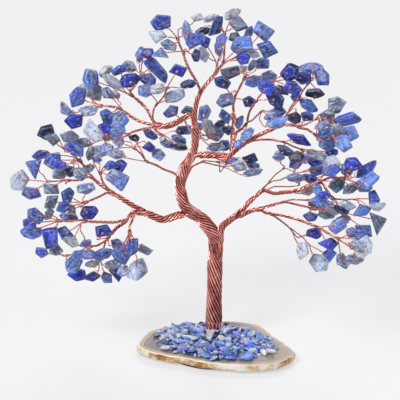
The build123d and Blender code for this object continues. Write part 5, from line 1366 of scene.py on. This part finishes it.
# Colour and share of vein stone for each tone, of the fragments and of the chips in the table
TONES = {
    "R": ((0.022, 0.034, 0.440), 0.10), "B": ((0.036, 0.080, 0.480), 0.26),
    "P": ((0.105, 0.190, 0.600), 0.44), "S": ((0.066, 0.180, 0.650), 0.36),
    "C": ((0.440, 0.420, 0.330), 0.50), "W": ((0.450, 0.500, 0.600), 0.56),
    # D's dark navy is partly the stone's own colour and partly painted shade, for chips that lie in
    # shade
    "G": ((0.130, 0.150, 0.180), 0.46), "D": ((0.009, 0.014, 0.105), 0.14),
    "L": ((0.120, 0.115, 0.440), 0.38), "T": ((0.045, 0.130, 0.150), 0.38),
    "E": ((0.026, 0.040, 0.330), 0.34),
}


def ball(levels):
    """The corners and faces of a round ball of small triangles."""
    mesh = bmesh.new()
    bmesh.ops.create_icosphere(mesh, subdivisions=levels, radius=1.0)
    corners = np.array([v.co[:] for v in mesh.verts])
    faces = np.array([[v.index for v in f.verts] for f in mesh.faces])
    mesh.free()
    return corners, faces


def worn_gem(planes, stretch, shape, sharpness, roughness, seed):
    """A stone bounded by planes, how near to an edge each corner is, and its facet's painted light.
    """
    normals = np.array([normal for normal, _ in planes])
    distances = np.array([distance for _, distance in planes])
    ways = shape[0] * stretch
    ways /= np.linalg.norm(ways, axis=1)[:, None]
    nearness = np.maximum(ways @ normals.T, 0.0) / distances
    reach = np.power(np.power(nearness, sharpness).sum(axis=1), -1.0 / sharpness)
    ordered = np.sort(nearness, axis=1)
    edge = np.clip((ordered[:, -2] / ordered[:, -1] - 0.93) / 0.07, 0.0, 1.0)
    # Painted light: each facet gets its own brightness, as if light fell on it more or less
    facet_lights = np.random.default_rng(seed).uniform(0.58, 1.42, len(distances))
    places = ways * reach[:, None]
    dents = value_noise(*(places.T * 1.1), seed)
    places *= (1.0 - roughness * (1 + dents))[:, None]
    return places, edge, facet_lights[nearness.argmax(axis=1)]


def any_way(chance, flatness):
    """A way in any direction, less often up where the third share is small."""
    way = np.array([chance.gauss(0, 1), chance.gauss(0, 1), chance.gauss(0, flatness)])
    return way / np.linalg.norm(way)


def broken_planes(chance, halves):
    """The sides that a fragment broke on: which way each looks and how far out it lies."""
    planes = []
    for _ in range(chance.randint(6, 10)):
        way = any_way(chance, 1)
        planes.append((way, np.linalg.norm(way * halves) * chance.uniform(0.62, 0.98)))
    for k, half in enumerate(halves):
        for side in (1.0, -1.0):
            way = np.array([chance.gauss(0, 0.12) for _ in range(3)])
            way[k] = side
            planes.append((way / np.linalg.norm(way), half))
    return planes


def turned(places, first, second, swing):
    """Places turned in the plane of two of their axes."""
    a, b = places[:, first], places[:, second]
    found = places.copy()
    found[:, first] = a * math.cos(swing) - b * math.sin(swing)
    found[:, second] = a * math.sin(swing) + b * math.cos(swing)
    return found


def toned(colour, shade, facet_light):
    """A colour for each corner of a stone, lighter or darker by its facet's painted light."""
    colours = np.minimum(np.array(colour) * shade * facet_light[:, None], 1.0)
    return np.column_stack([colours, np.ones(len(facet_light))])


def own_grain(places, distance):
    """Where each corner of a stone lies in the rough that it was cut from."""
    return np.column_stack([places + distance, np.ones(len(places))])


def stone_figure():
    """Blue stone, clouded and streaked along its own grain, with white vein stone and gold."""
    tree = bpy.data.node_groups.new("stone_figure", "ShaderNodeTree")
    for plug in ("Vein Share", "Edge Wear"):
        tree.interface.new_socket(plug, in_out="INPUT", socket_type="NodeSocketFloat")
    for plug, kind in (("Colour", "Color"), ("Cloud", "Float"), ("Normal", "Vector")):
        tree.interface.new_socket(plug, in_out="OUTPUT", socket_type="NodeSocket" + kind)
    given = tree.nodes.new("NodeGroupInput").outputs
    grain = named_value(tree, "grain", "Vector")
    drawn = tree.nodes.new("ShaderNodeVectorMath")
    drawn.operation = "MULTIPLY"
    drawn.inputs[1].default_value = (0.45, 1.25, 1.0)
    tree.links.new(grain, drawn.inputs[0])
    drawn = drawn.outputs["Vector"]
    patch = reckoned(tree, "ADD", named_value(tree, "patch"), given["Vein Share"])

    clouds = spread(tree, cloudy(tree, grain, 0.24, 5.0, 0.62, 0.9), 0.3, 0.7, 0.20, 1.7)
    mottle = spread(tree, cloudy(tree, grain, 1.3, 4.0, 0.6, 0.3), 0.3, 0.7, 0.6, 1.4)
    deep = tree.nodes.new("ShaderNodeVectorMath")
    deep.operation = "SCALE"
    tree.links.new(named_value(tree, "tint", "Color"), deep.inputs[0])
    tree.links.new(reckoned(tree, "MULTIPLY", clouds, mottle), deep.inputs["Scale"])

    streaks = cloudy(tree, drawn, 0.62, 6.0, 0.62, 1.4)
    streaks = reckoned(tree, "MULTIPLY_ADD", patch, 0.30, streaks)
    pale = spread(tree, streaks, 0.58, 0.74, 0.0, 0.62)
    colour = laid_over(tree, pale, deep.outputs["Vector"], (0.25, 0.39, 0.88))
    veins = cloudy(tree, drawn, 0.40, 8.0, 0.72, 1.8)
    white = spread(tree, reckoned(tree, "MULTIPLY_ADD", patch, 0.42, veins), 0.71, 0.80, 0.0, 0.88)
    colour = laid_over(tree, white, colour, (0.74, 0.76, 0.78))
    spots = spread(tree, cloudy(tree, grain, 0.75, 4.0, 0.6, 0.6), 0.60, 0.68, 0.0, 0.7)
    colour = laid_over(tree, spots, colour, (0.010, 0.012, 0.040))
    # Pale edges, partly from wear and partly painted highlight
    bare = reckoned(tree, "MULTIPLY", named_value(tree, "edge"), given["Edge Wear"])
    worn = reckoned(tree, "MULTIPLY", bare, spread(tree, veins, 0.4, 0.6, 0.20, 0.75))
    colour = laid_over(tree, worn, colour, (0.54, 0.60, 0.80))

    flecks = tree.nodes.new("ShaderNodeTexVoronoi")
    flecks.inputs["Scale"].default_value = 0.7
    tree.links.new(grain, flecks.inputs["Vector"])
    split = tree.nodes.new("ShaderNodeSeparateColor")
    tree.links.new(flecks.outputs["Color"], split.inputs[0])
    rare = reckoned(tree, "GREATER_THAN", split.outputs[0], 0.80)
    spark = spread(tree, flecks.outputs["Distance"], 0.18, 0.09, 0.0, 0.9)
    colour = laid_over(tree, reckoned(tree, "MULTIPLY", spark, rare), colour, (0.62, 0.54, 0.38))

    swells = rippled(tree, cloudy(tree, grain, 0.33, 2.0, 0.5, 0.4), 0.0012, 0.35)
    normal = rippled(tree, cloudy(tree, grain, 1.4, 5.0, 0.6), 0.0003, 0.55, swells)
    ends = tree.nodes.new("NodeGroupOutput")
    for plug, value in (("Colour", colour), ("Cloud", veins), ("Normal", normal)):
        tree.links.new(value, ends.inputs[plug])
    return tree


figure = stone_figure()


def stone_material(name, gloss, vein_share, edge_wear_and_highlight):
    made, tree, surface = new_material(name)
    pattern = tree.nodes.new("ShaderNodeGroup")
    pattern.node_tree = figure
    set_plugs(pattern, Vein_Share=vein_share, Edge_Wear=edge_wear_and_highlight)
    tree.links.new(pattern.outputs["Colour"], surface.inputs["Base Color"])
    tree.links.new(pattern.outputs["Normal"], surface.inputs["Normal"])
    dull = spread(tree, pattern.outputs["Cloud"], 0.3, 0.7, gloss, gloss + 0.2)
    tree.links.new(dull, surface.inputs["Roughness"])
    set_plugs(surface, Specular_IOR_Level=0.28, Coat_Weight=0.14, Coat_Roughness=0.08)
    return made


class Heap:
    """Places, faces and named values of many small parts in one mesh."""

    def __init__(self):
        self.places, self.faces, self.values = [], [], {}
        self.count = 0

    def add(self, places, faces, **values):
        self.places.append(np.asarray(places))
        self.faces += (np.asarray(faces) + self.count).tolist()
        self.count += len(places)
        for key, value in values.items():
            value = np.asarray(value, dtype=float)
            value = np.full(len(places), float(value)) if value.ndim == 0 else value
            self.values.setdefault(key, []).append(value)

    def piece(self, name, material, slot):
        values = {key: np.concatenate(parts) for key, parts in self.values.items()}
        return mesh_piece(name, np.concatenate(self.places), self.faces, material, slot, **values)


ground_shape = ball(3)
ground = Heap()
foot = np.array(limbs["trunk"].way[0])
chance = random.Random(77)
for layer, (amount, least, most, widest, lift, tilt, widths, tones) in enumerate(GROUND_LAYERS):
    for i in range(amount):
        reach = math.sqrt((i + 0.5) / amount) * widest
        angle = i * GOLDEN_ANGLE + layer
        x = reach * math.cos(angle) * SLICE_LENGTH * 0.9 + chance.uniform(-1, 1)
        y = reach * math.sin(angle) * SLICE_WIDTH * 0.9 - x * 0.2 + GLUE_SETBACK
        y += chance.uniform(-1, 1)
        round_trunk = widest == 0.0
        if round_trunk:
            out = TRUNK_RING + i % 3 * TRUNK_RING_STEP
            x = foot[0] + out * math.cos(angle)
            y = foot[1] + out * math.sin(angle)
            lift = 2.0 if y < foot[1] else 1.0
        size = chance.uniform(least, most) * (1.35 if chance.random() < 0.12 else 1.0)
        halves = np.array([1.0, chance.choice(widths), chance.uniform(0.14, 0.30)]) * size / 2
        room = limbs["trunk"].radius + (0.3 if round_trunk else 0.5) * size
        if math.hypot(x - foot[0], y - foot[1]) < room:
            continue
        stretch = halves * np.array([1.0, 1.0, 1.4])
        planes = broken_planes(chance, halves)
        places, edge, facet_light = worn_gem(
            planes, stretch, ground_shape, BROKEN_SHARPNESS, BROKEN_ROUGHNESS, i)
        grain = own_grain(places, 37.0 * chance.random())
        places = turned(places, 0, 2, chance.gauss(0, tilt))
        places = turned(places, 1, 2, chance.gauss(0, tilt))
        places = turned(places, 0, 1, chance.uniform(0, 6.28))
        lower = 1 - 0.5 * min(1.0, reach / RIM_SHARE) ** 3
        level = SLICE_TOP + lift * lower + chance.uniform(0.0, 0.25)
        places += np.array([x, y, level - places[:, 2].min()])
        colour, patch = TONES[chance.choice(tones)]
        # The colour is made lighter or darker by each facet's painted light
        tint = toned(colour, chance.uniform(*BROKEN_SHADES), facet_light)
        ground.add(places, ground_shape[1], tint=tint, patch=patch, edge=edge, grain=grain)
# The fragments' pale edges, wear and painted highlight, are at full strength
stone_broken = stone_material("stone_broken", 0.26, 0.05, 1.0)
fragments = ground.piece("ground_fragments", stone_broken, "ground_stone")
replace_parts(fragments, "ground_stones")


# Copper wire: trunk, stem, boughs, branchlets and twigs
# One thin copper wire runs to each chip and back, so every rope here is drawn wire by wire. In a
# rope the wires lie in rings round its axis and wind round it all the same way. Towards a fork each
# wire moves over to the thinner rope it goes on in, so it can be followed from foot to chip.
STRAND_WIDTH = 1.5
ROPE_STEP = 0.55
ROPE_LAY_DEGREES = 33
TRUNK_LAY_DEGREES = 25
PAIR_TURN = 2.7
PAIR_STEP = 0.3
ROPE_WIRE_CORNERS = 5
PAIR_WIRE_CORNERS = 6
CORE_CORNERS = 14
LOOP_STEPS = 4
RING_SHARE = 0.92
TIGHT_SHARE = 0.88
TIGHT_SLACK = 0.10
LOOSE_SLACK = 0.26
# How bright a wire is at least, and how much chance adds to it. In a rope the first is a wire's
# brightness on a crest, and wires sunk in the grooves are darker: painted highlight and shade
ROPE_SHADES = (0.80, 0.22)
PAIR_SHADES = (0.36, 0.38)
LOOP_SHADES = (0.32, 0.46)
# Colours from dark to bright copper, chosen by each wire's brightness: in a rope, the dark end is
# painted shade in the grooves between the wires, and the bright end a painted highlight on crests
COPPER_COLOURS = [
    (0.0, (0.060, 0.012, 0.010)), (0.3, (0.270, 0.050, 0.043)), (0.62, (0.600, 0.172, 0.146)),
    (1.0, (0.950, 0.540, 0.470)),
]


def even_line(way, bend, step, ease):
    """A way as evenly spaced points, its corners eased out but its ends kept."""
    points = np.array(rounded(way, bend))
    runs = np.linalg.norm(np.diff(points, axis=0), axis=1)
    along = np.concatenate([[0.0], np.cumsum(runs)])
    amount = max(5, int(round(along[-1] / step)) + 1)
    spots = np.linspace(0.0, along[-1], amount)
    line = np.column_stack([np.interp(spots, along, points[:, k]) for k in range(3)])
    reach = min(int(round(ease / (spots[1] - spots[0]))), amount - 2)
    if reach > 0:
        before = 2 * line[0] - line[1:reach + 1][::-1]
        after = 2 * line[-1] - line[-reach - 1:-1][::-1]
        weights = np.hanning(2 * reach + 3)[1:-1]
        weights /= weights.sum()
        padded = np.concatenate([before, line, after])
        line = np.column_stack([np.convolve(padded[:, k], weights, "valid") for k in range(3)])
    return line, spots


def carried_axes(line):
    """Two axes square to a line at each of its points, carried along it without turning."""
    heads = np.gradient(line, axis=0)
    heads /= np.linalg.norm(heads, axis=1)[:, None]
    sides = np.zeros_like(heads)
    start = np.array(square_to(tuple(heads[0]))[0])
    for i, head in enumerate(heads):
        start = start - head * start.dot(head)
        start /= np.linalg.norm(start)
        sides[i] = start
    return sides, np.cross(heads, sides)


def eased(share):
    share = np.clip(share, 0.0, 1.0)
    return share * share * (3 - 2 * share)


def pack_rings(wanted, radius):
    """Even places in rings for a rope's wires, each as near as can be to where it is wanted."""
    wanted = wanted - wanted.mean(axis=0)
    order = list(np.argsort(-np.linalg.norm(wanted, axis=1)))
    packed = np.zeros_like(wanted)
    depth = np.zeros(len(wanted))
    ring = 0
    while order:
        reach = max(radius - WIRE_RADIUS - ring * WIRE_DIAMETER * RING_SHARE, 0.02)
        room = max(1, int(2 * math.pi * reach / WIRE_DIAMETER + 0.35))
        members = sorted(order[:room], key=lambda w: math.atan2(wanted[w][1], wanted[w][0]))
        order = order[room:]
        angles = np.array([math.atan2(wanted[w][1], wanted[w][0]) for w in members])
        even = np.arange(len(members)) * 2 * math.pi / len(members)
        shift = math.atan2(np.sin(angles - even).sum(), np.cos(angles - even).sum())
        for w, angle in zip(members, even + shift):
            packed[w] = (reach * math.cos(angle), reach * math.sin(angle))
            depth[w] = ring
        ring += 1
    return packed, depth


def spun(flat, angles):
    """Flat places turned by the angle at each point of a line: one row of places per point."""
    cos, sin = np.cos(angles)[:, None], np.sin(angles)[:, None]
    across, along = flat[:, 0] * cos - flat[:, 1] * sin, flat[:, 0] * sin + flat[:, 1] * cos
    return np.stack([across, along], axis=2)


def set_rope(limb):
    """Where each wire of a rope lies in its cross-section, worked out from its tips back."""
    ease = 1.0 + limb.radius
    limb.line, limb.along = even_line(limb.way, BEND_SHARE * limb.radius, ROPE_STEP, ease)
    limb.sides, limb.others = carried_axes(limb.line)
    end, side, other = limb.line[-1], limb.sides[-1], limb.others[-1]
    limb.carried = []
    wanted = []
    for stone in limb.stones:
        away = np.array(stone.start) - end
        spot = np.array([away.dot(side), away.dot(other)])
        for k in range(2):
            limb.carried.append((stone.number, k))
            wanted.append(spot + stone.begin[k] @ np.column_stack([side, other]))
    for child in limb.limbs:
        set_rope(child)
        away = child.line[0] - end
        spot = np.array([away.dot(side), away.dot(other)])
        if limb.bough == "stem" and child.bough != "stem":
            ahead = child.line[min(len(child.line) - 1, 12)] - end
            spot = np.array([ahead.dot(side), ahead.dot(other)])
            spot *= (limb.radius - 0.75 * child.radius) / np.linalg.norm(spot)
        for wire, flat in zip(child.carried, child.begin):
            carried = flat[0] * child.sides[0] + flat[1] * child.others[0]
            limb.carried.append(wire)
            wanted.append(spot + [carried.dot(side), carried.dot(other)])
    limb.wanted = np.array(wanted)
    limb.packed, limb.depth = pack_rings(limb.wanted, limb.radius)
    lay = TRUNK_LAY_DEGREES if limb.key == "trunk" else ROPE_LAY_DEGREES
    winding = math.tan(math.radians(lay)) / max(limb.radius, 0.55)
    limb.angles = winding * (limb.along[-1] - limb.along)
    limb.begin = spun(limb.packed, limb.angles[:1])[0]


def set_twig(stone):
    """The line of a twisted pair, turned so that it ends across the stone's two faces."""
    stone.line, stone.along = even_line(stone.way, TWIG_BEND, PAIR_STEP, 0.9)
    stone.sides, stone.others = carried_axes(stone.line)
    face = np.array(stone.axes[2])
    last = math.atan2(face.dot(stone.others[-1]), face.dot(stone.sides[-1]))
    stone.angles = last + 2 * math.pi / PAIR_TURN * (stone.along[-1] - stone.along)
    stone.spots = spun(np.array([[WIRE_RADIUS, 0.0], [-WIRE_RADIUS, 0.0]]), stone.angles)
    stone.begin = [x * stone.sides[0] + y * stone.others[0] for x, y in stone.spots[0]]
    stone.ends = [
        stone.line[-1] + x * stone.sides[-1] + y * stone.others[-1] for x, y in stone.spots[-1]]


def beside(guide, spots):
    """Points beside a line, from where they lie in its cross-section."""
    return guide.line + spots[:, :1] * guide.sides + spots[:, 1:] * guide.others


def add_wire(heap, points, guide, radius, corners, shade):
    """A round wire along points, its rings square to it."""
    heads = np.gradient(points, axis=0)
    heads /= np.maximum(np.linalg.norm(heads, axis=1), 1e-9)[:, None]
    first = np.cross(heads, guide)
    first /= np.maximum(np.linalg.norm(first, axis=1), 1e-9)[:, None]
    second = np.cross(heads, first)
    turns = np.arange(corners) / corners * 2 * math.pi
    cos, sin = np.cos(turns)[None, :, None], np.sin(turns)[None, :, None]
    rings = points[:, None] + radius * (first[:, None] * cos + second[:, None] * sin)
    grid = np.arange(len(points) * corners).reshape(len(points), corners)
    near, far = grid[:-1], grid[1:]
    faces = [near, np.roll(near, -1, axis=1), np.roll(far, -1, axis=1), far]
    heap.add(rings.reshape(-1, 3), np.stack(faces, axis=2).reshape(-1, 4), shade=shade)


def draw_rope(limb, heap, taken):
    """The wires of one rope, which take over from where the rope before it left them."""
    length = limb.along[-1]
    ease = min(0.6 * length, 1.5 + 2.2 * limb.radius)
    share = eased((limb.along - length + ease) / ease)[:, None, None]
    chance = random.Random(limb.key)
    strands = max(3, round(2 * math.pi * limb.radius / STRAND_WIDTH))
    around = np.arctan2(limb.packed[:, 1], limb.packed[:, 0])
    around = around + 0.25 / strands * np.sin(around * 2 + chance.uniform(0, 6.28))
    crest = np.abs(np.cos(strands * around / 2 + chance.uniform(0, 3.14)))
    groove = min(0.26, 2.4 / strands)
    spots = spun(limb.packed * (1 - groove * (1 - crest ** 0.7))[:, None], limb.angles)
    # Painted light and shade on thick ropes: two broad bands, lighter and darker, that wind with
    # the wires
    painted_bands = np.ones(len(around))
    if limb.radius > 2:
        painted_bands = 0.80 + 0.40 * np.cos(around + chance.uniform(0, 3.14)) ** 2
    spots = spots + limb.wanted.mean(axis=0) * share
    spots = spots * (1 - share) + limb.wanted * share
    if limb.key == "trunk":
        bulge = 0.09 * np.exp(-((limb.along - 9.0) / 5.0) ** 2)
        waist = 0.05 * np.exp(-((limb.along - 26.0) / 8.0) ** 2)
        spots = spots * (1 + bulge - waist)[:, None, None]
    waves = np.sin(math.pi * np.clip(limb.along / length, 0, 1))
    fade = 1 - eased(limb.along / (2.4 * limb.thick + 0.5))
    rings = int(limb.depth.max()) + 1
    # A thick rope's inner wires show only where it begins and where it parts
    parting = max(int((length - 0.9 * ease) / limb.along[1]), 0)
    begun = int(2.2 * limb.thick / limb.along[1]) + 2
    shown = [(parting, len(limb.line))]
    if limb.thick > limb.radius * 1.3 and begun < parting:
        shown.insert(0, (0, begun))
    for w, wire in enumerate(limb.carried):
        drift = random.Random(wire[0] * 2 + wire[1])
        offset = spots[:, w]
        slack = TIGHT_SLACK if drift.random() < TIGHT_SHARE else LOOSE_SLACK
        sway = np.sin(limb.along * drift.uniform(0.25, 0.6) + drift.uniform(0, 6.28))
        if limb.depth[w] == 0 and limb.radius > 1.0:
            offset = offset * (1 + slack * sway * waves / limb.radius)[:, None]
        points = beside(limb, offset)
        if wire in taken:
            points = points + (taken[wire] - points[0]) * fade[:, None]
        limb.ends[wire] = points[-1]
        # Painted highlight and shade: a wire on a crest of the rope is brighter, one in a groove
        # darker
        shade = ROPE_SHADES[0] * crest[w] ** 1.9 + ROPE_SHADES[1] * drift.random()
        inner = limb.depth[w] >= 2 and rings > 3
        for first, last in shown if inner else [(0, len(points))]:
            if last - first > 3:
                add_wire(heap, points[first:last], limb.sides[first:last], WIRE_RADIUS,
                         ROPE_WIRE_CORNERS, shade * painted_bands[w])
    # A core inside a thick rope in the darkest copper colour: painted shade between its wires
    if rings > 3:
        core = (limb.radius - 3.4 * WIRE_RADIUS) * (1 - groove)
        last = max(4, int(len(limb.line) * (length - 0.55 * ease) / length))
        add_wire(heap, limb.line[:last], limb.sides[:last], core, CORE_CORNERS, 0.0)


def draw_loop(stone, heap, shade):
    """The wire that goes on from one of the pair, over one face, through the hole and back."""
    outward = np.array(local(stone, stone.heading + (0.0,)))
    centre = np.array(stone.centre)
    hole = centre + outward * stone.rim * HOLE_SHARE
    lift = stone.half + WIRE_RADIUS + 0.04
    legs = []
    for end, shrink, side in zip(stone.ends, stone.shrinks, (1, -1)):
        up = np.array(stone.axes[2]) * side
        legs.append([
            end + outward * 0.3,
            end,
            centre + outward * (stone.rim + 0.15) + up * (0.55 * stone.half + 0.25),
            centre + outward * stone.rim * shrink * 0.98 + up * (lift + 0.1),
            hole + outward * 0.45 + up * (lift + 0.05),
            hole + outward * 0.02 + up * (lift - 0.08),
        ])
    route = legs[0] + [hole] + legs[1][::-1]
    points = [curve_point(route[i:i + 4], share)
              for i in range(len(route) - 3) for share in np.arange(LOOP_STEPS) / LOOP_STEPS]
    guide = np.cross(outward, np.array(stone.axes[2]))
    add_wire(heap, np.array(points + [route[-2]]), guide, WIRE_RADIUS, PAIR_WIRE_CORNERS, shade)


# Each wire's colour and roughness follow its shade value, which holds the ropes' painted shade and
# highlight, with patches of tarnish laid on
copper, tree, surface = new_material("copper_wire_rosy")
tarnish = spread(tree, cloudy(tree, own_place(tree), 260.0, 6.0, 0.6), 0.3, 0.7, -0.22, 0.22)
bright = reckoned(tree, "ADD", named_value(tree, "shade"), tarnish)
tree.links.new(ramped(tree, bright, COPPER_COLOURS), surface.inputs["Base Color"])
tree.links.new(spread(tree, bright, 0.0, 1.0, 0.44, 0.15), surface.inputs["Roughness"])
set_plugs(surface, Metallic=1.0, Specular_Tint=(1.0, 0.86, 0.82, 1.0), Coat_Weight=0.35,
          Coat_Roughness=0.18)

for stone in stones:
    set_twig(stone)
set_rope(limbs["trunk"])
heaps = {}
for limb in limbs.values():
    parent = limbs.get(limb.parent)
    limb.thick = parent.radius if parent and parent.bough == "stem" else limb.radius
    limb.ends = {}
    node = "trunk" if limb.key == "trunk" else limb.bough
    if node not in ("trunk", "stem"):
        node += "_bough" if limb.key.endswith("_a") else "_branchlets"
    draw_rope(limb, heaps.setdefault(node, Heap()), parent.ends if parent else {})
for stone in stones:
    heap = heaps.setdefault(stone.limb.bough + "_twigs", Heap())
    fade = 1 - eased(stone.along / 1.2)
    for k in range(2):
        points = beside(stone, stone.spots[:, k])
        points = points + (stone.limb.ends[(stone.number, k)] - points[0]) * fade[:, None]
        shade = PAIR_SHADES[0] + PAIR_SHADES[1] * random.Random(stone.number * 2 + k).random()
        add_wire(heap, points, stone.sides, WIRE_RADIUS, PAIR_WIRE_CORNERS, shade)
    shade = LOOP_SHADES[0] + LOOP_SHADES[1] * random.Random(stone.number).random()
    draw_loop(stone, heap, shade)
for node, heap in heaps.items():
    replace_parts(heap.piece(node + "_wires", copper, "copper_wire"), node)


# Root wires
# At the foot some of the twisted pairs are bent out of the rope and splayed over the glue, which
# sets round them and holds the tree up.
ROOT_COUNT = 14
ROOT_RISE = 4.2
ROOT_REACH = 3.4
ROOT_TURN = PAIR_TURN * 1.6
ROOT_SHADES = (0.7, 0.3)
roots = Heap()
low = GLUE_TOP + PAIR_RADIUS + WIRE_CLEARANCE
near = limbs["trunk"].radius + PAIR_RADIUS + WIRE_CLEARANCE
for i in range(ROOT_COUNT):
    chance = random.Random(2000 + i)
    angle = 2 * math.pi * (i + chance.uniform(-0.15, 0.15)) / ROOT_COUNT
    rise = ROOT_RISE * chance.uniform(0.8, 1.1)
    way = []
    for out, up, swing in ((near - 0.7, rise * 1.5, 0.25), (near, rise * 0.45, 0.0),
                           (near + ROOT_REACH / 2, 0.0, 0.0), (near + ROOT_REACH, 0.0, 0.0)):
        x, y = out * math.cos(angle + swing), out * math.sin(angle + swing)
        way.append((foot[0] + x, foot[1] + y, low + up))
    line, along = even_line(way, TWIG_BEND, PAIR_STEP, 0.8)
    sides, others = carried_axes(line)
    for k in range(2):
        turns = (2 * math.pi / ROOT_TURN * along + math.pi * k + i)[:, None]
        points = line + WIRE_RADIUS * (np.cos(turns) * sides + np.sin(turns) * others)
        shade = ROOT_SHADES[0] + ROOT_SHADES[1] * chance.random()
        add_wire(roots, points, sides, WIRE_RADIUS, PAIR_WIRE_CORNERS, shade)
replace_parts(roots.piece("root_wires_splayed", copper, "copper_wire"), "root_wires")


# Drilled chips
# Each chip is a tumbled flake of blue stone with worn corners, white or grey where the vein stone
# shows, and has a hole drilled through its two flat faces. Its edges are paler, partly from wear
# and partly painted highlight, and each facet has its own painted light, a little lighter or
# darker than the next. Most are 7 to 10 mm long, and the largest is about 16 mm.
DRILL_CORNERS = 12
TUMBLED_SHARPNESS = 34
TUMBLED_ROUGHNESS = 0.006
TUMBLED_SHADES = (0.50, 1.16)
KNOCKED_SHARES = (0.86, 0.97)


def bore_of(stone):
    """A rod through a chip's two faces: first its lower ring of corners, then its upper one."""
    outward = np.array(local(stone, stone.heading + (0.0,)))
    face = np.array(stone.axes[2])
    middle = np.array(stone.centre) + outward * stone.rim * HOLE_SHARE
    turns = (np.arange(DRILL_CORNERS) / DRILL_CORNERS * 2 * math.pi)[:, None]
    ring = HOLE_RADIUS * (np.cos(turns) * outward + np.sin(turns) * np.cross(face, outward))
    return np.concatenate([middle + ring - face * stone.half * 2,
                           middle + ring + face * stone.half * 2])


def drill(chips, bores):
    """Cut the holes of a bough's chips with one rod for each."""
    rod_faces = ring_faces(2, DRILL_CORNERS) + end_faces(2, DRILL_CORNERS)
    faces = [[corner + k * 2 * DRILL_CORNERS for corner in face]
             for k in range(len(bores)) for face in rod_faces]
    rod_data = bpy.data.meshes.new("drills")
    rod_data.from_pydata((np.concatenate(bores) * MM).tolist(), [], faces)
    rods = bpy.data.objects.new("drills", rod_data)
    bpy.context.collection.objects.link(rods)
    boring = chips.modifiers.new("drill", "BOOLEAN")
    boring.operation = "DIFFERENCE"
    boring.solver = "EXACT"
    boring.object = rods
    bpy.context.view_layer.update()
    graph = bpy.context.evaluated_depsgraph_get()
    drilled = bpy.data.meshes.new_from_object(chips.evaluated_get(graph))
    chips.modifiers.clear()
    chips.data = drilled
    bpy.data.objects.remove(rods)


chip_shape = ball(4)
stone_tumbled = stone_material("stone_tumbled", 0.20, 0.0, 0.85)
for bough in BOUGH_SHARES:
    heap = Heap()
    bores = []
    for stone in [stone for stone in stones if stone.limb.bough == bough]:
        chance = random.Random(500 + stone.number)
        axes = np.array(stone.axes)
        levels = ((1.0, 0.0), (stone.shrinks[0], stone.half), (stone.shrinks[1], -stone.half))
        corners = np.array([(x * shrink, y * shrink, level)
                            for shrink, level in levels for x, y in stone.corners])
        planes = [(np.array(normal) @ axes.T, distance) for normal, distance, _ in stone.planes]
        for _ in range(chance.randint(3, 6)):
            way = any_way(chance, 0.55)
            planes.append((way, float((corners @ way).max()) * chance.uniform(*KNOCKED_SHARES)))
        stretch = np.append(np.abs(corners[:, :2]).max(axis=0), stone.half * 1.5)
        places, edge, facet_light = worn_gem(
            planes, stretch, chip_shape, TUMBLED_SHARPNESS, TUMBLED_ROUGHNESS, stone.number)
        # Chips of tone E have stronger pale edges: wear and painted highlight
        if stone.tone == "E":
            edge = np.clip(edge * 1.9, 0, 1)
        grain = own_grain(places, 53.0 * chance.random())
        colour, patch = TONES[stone.tone]
        # The colour is made lighter or darker by each facet's painted light
        tint = toned(colour, chance.uniform(*TUMBLED_SHADES), facet_light)
        patch += chance.uniform(-0.12, 0.12)
        places = places @ axes + np.array(stone.centre)
        heap.add(places, chip_shape[1], edge=edge, grain=grain, tint=tint, patch=patch)
        bores.append(bore_of(stone))
    chips = heap.piece(bough + "_chips", stone_tumbled, "drilled_stone")
    drill(chips, bores)
    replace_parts(chips, bough + "_stones")
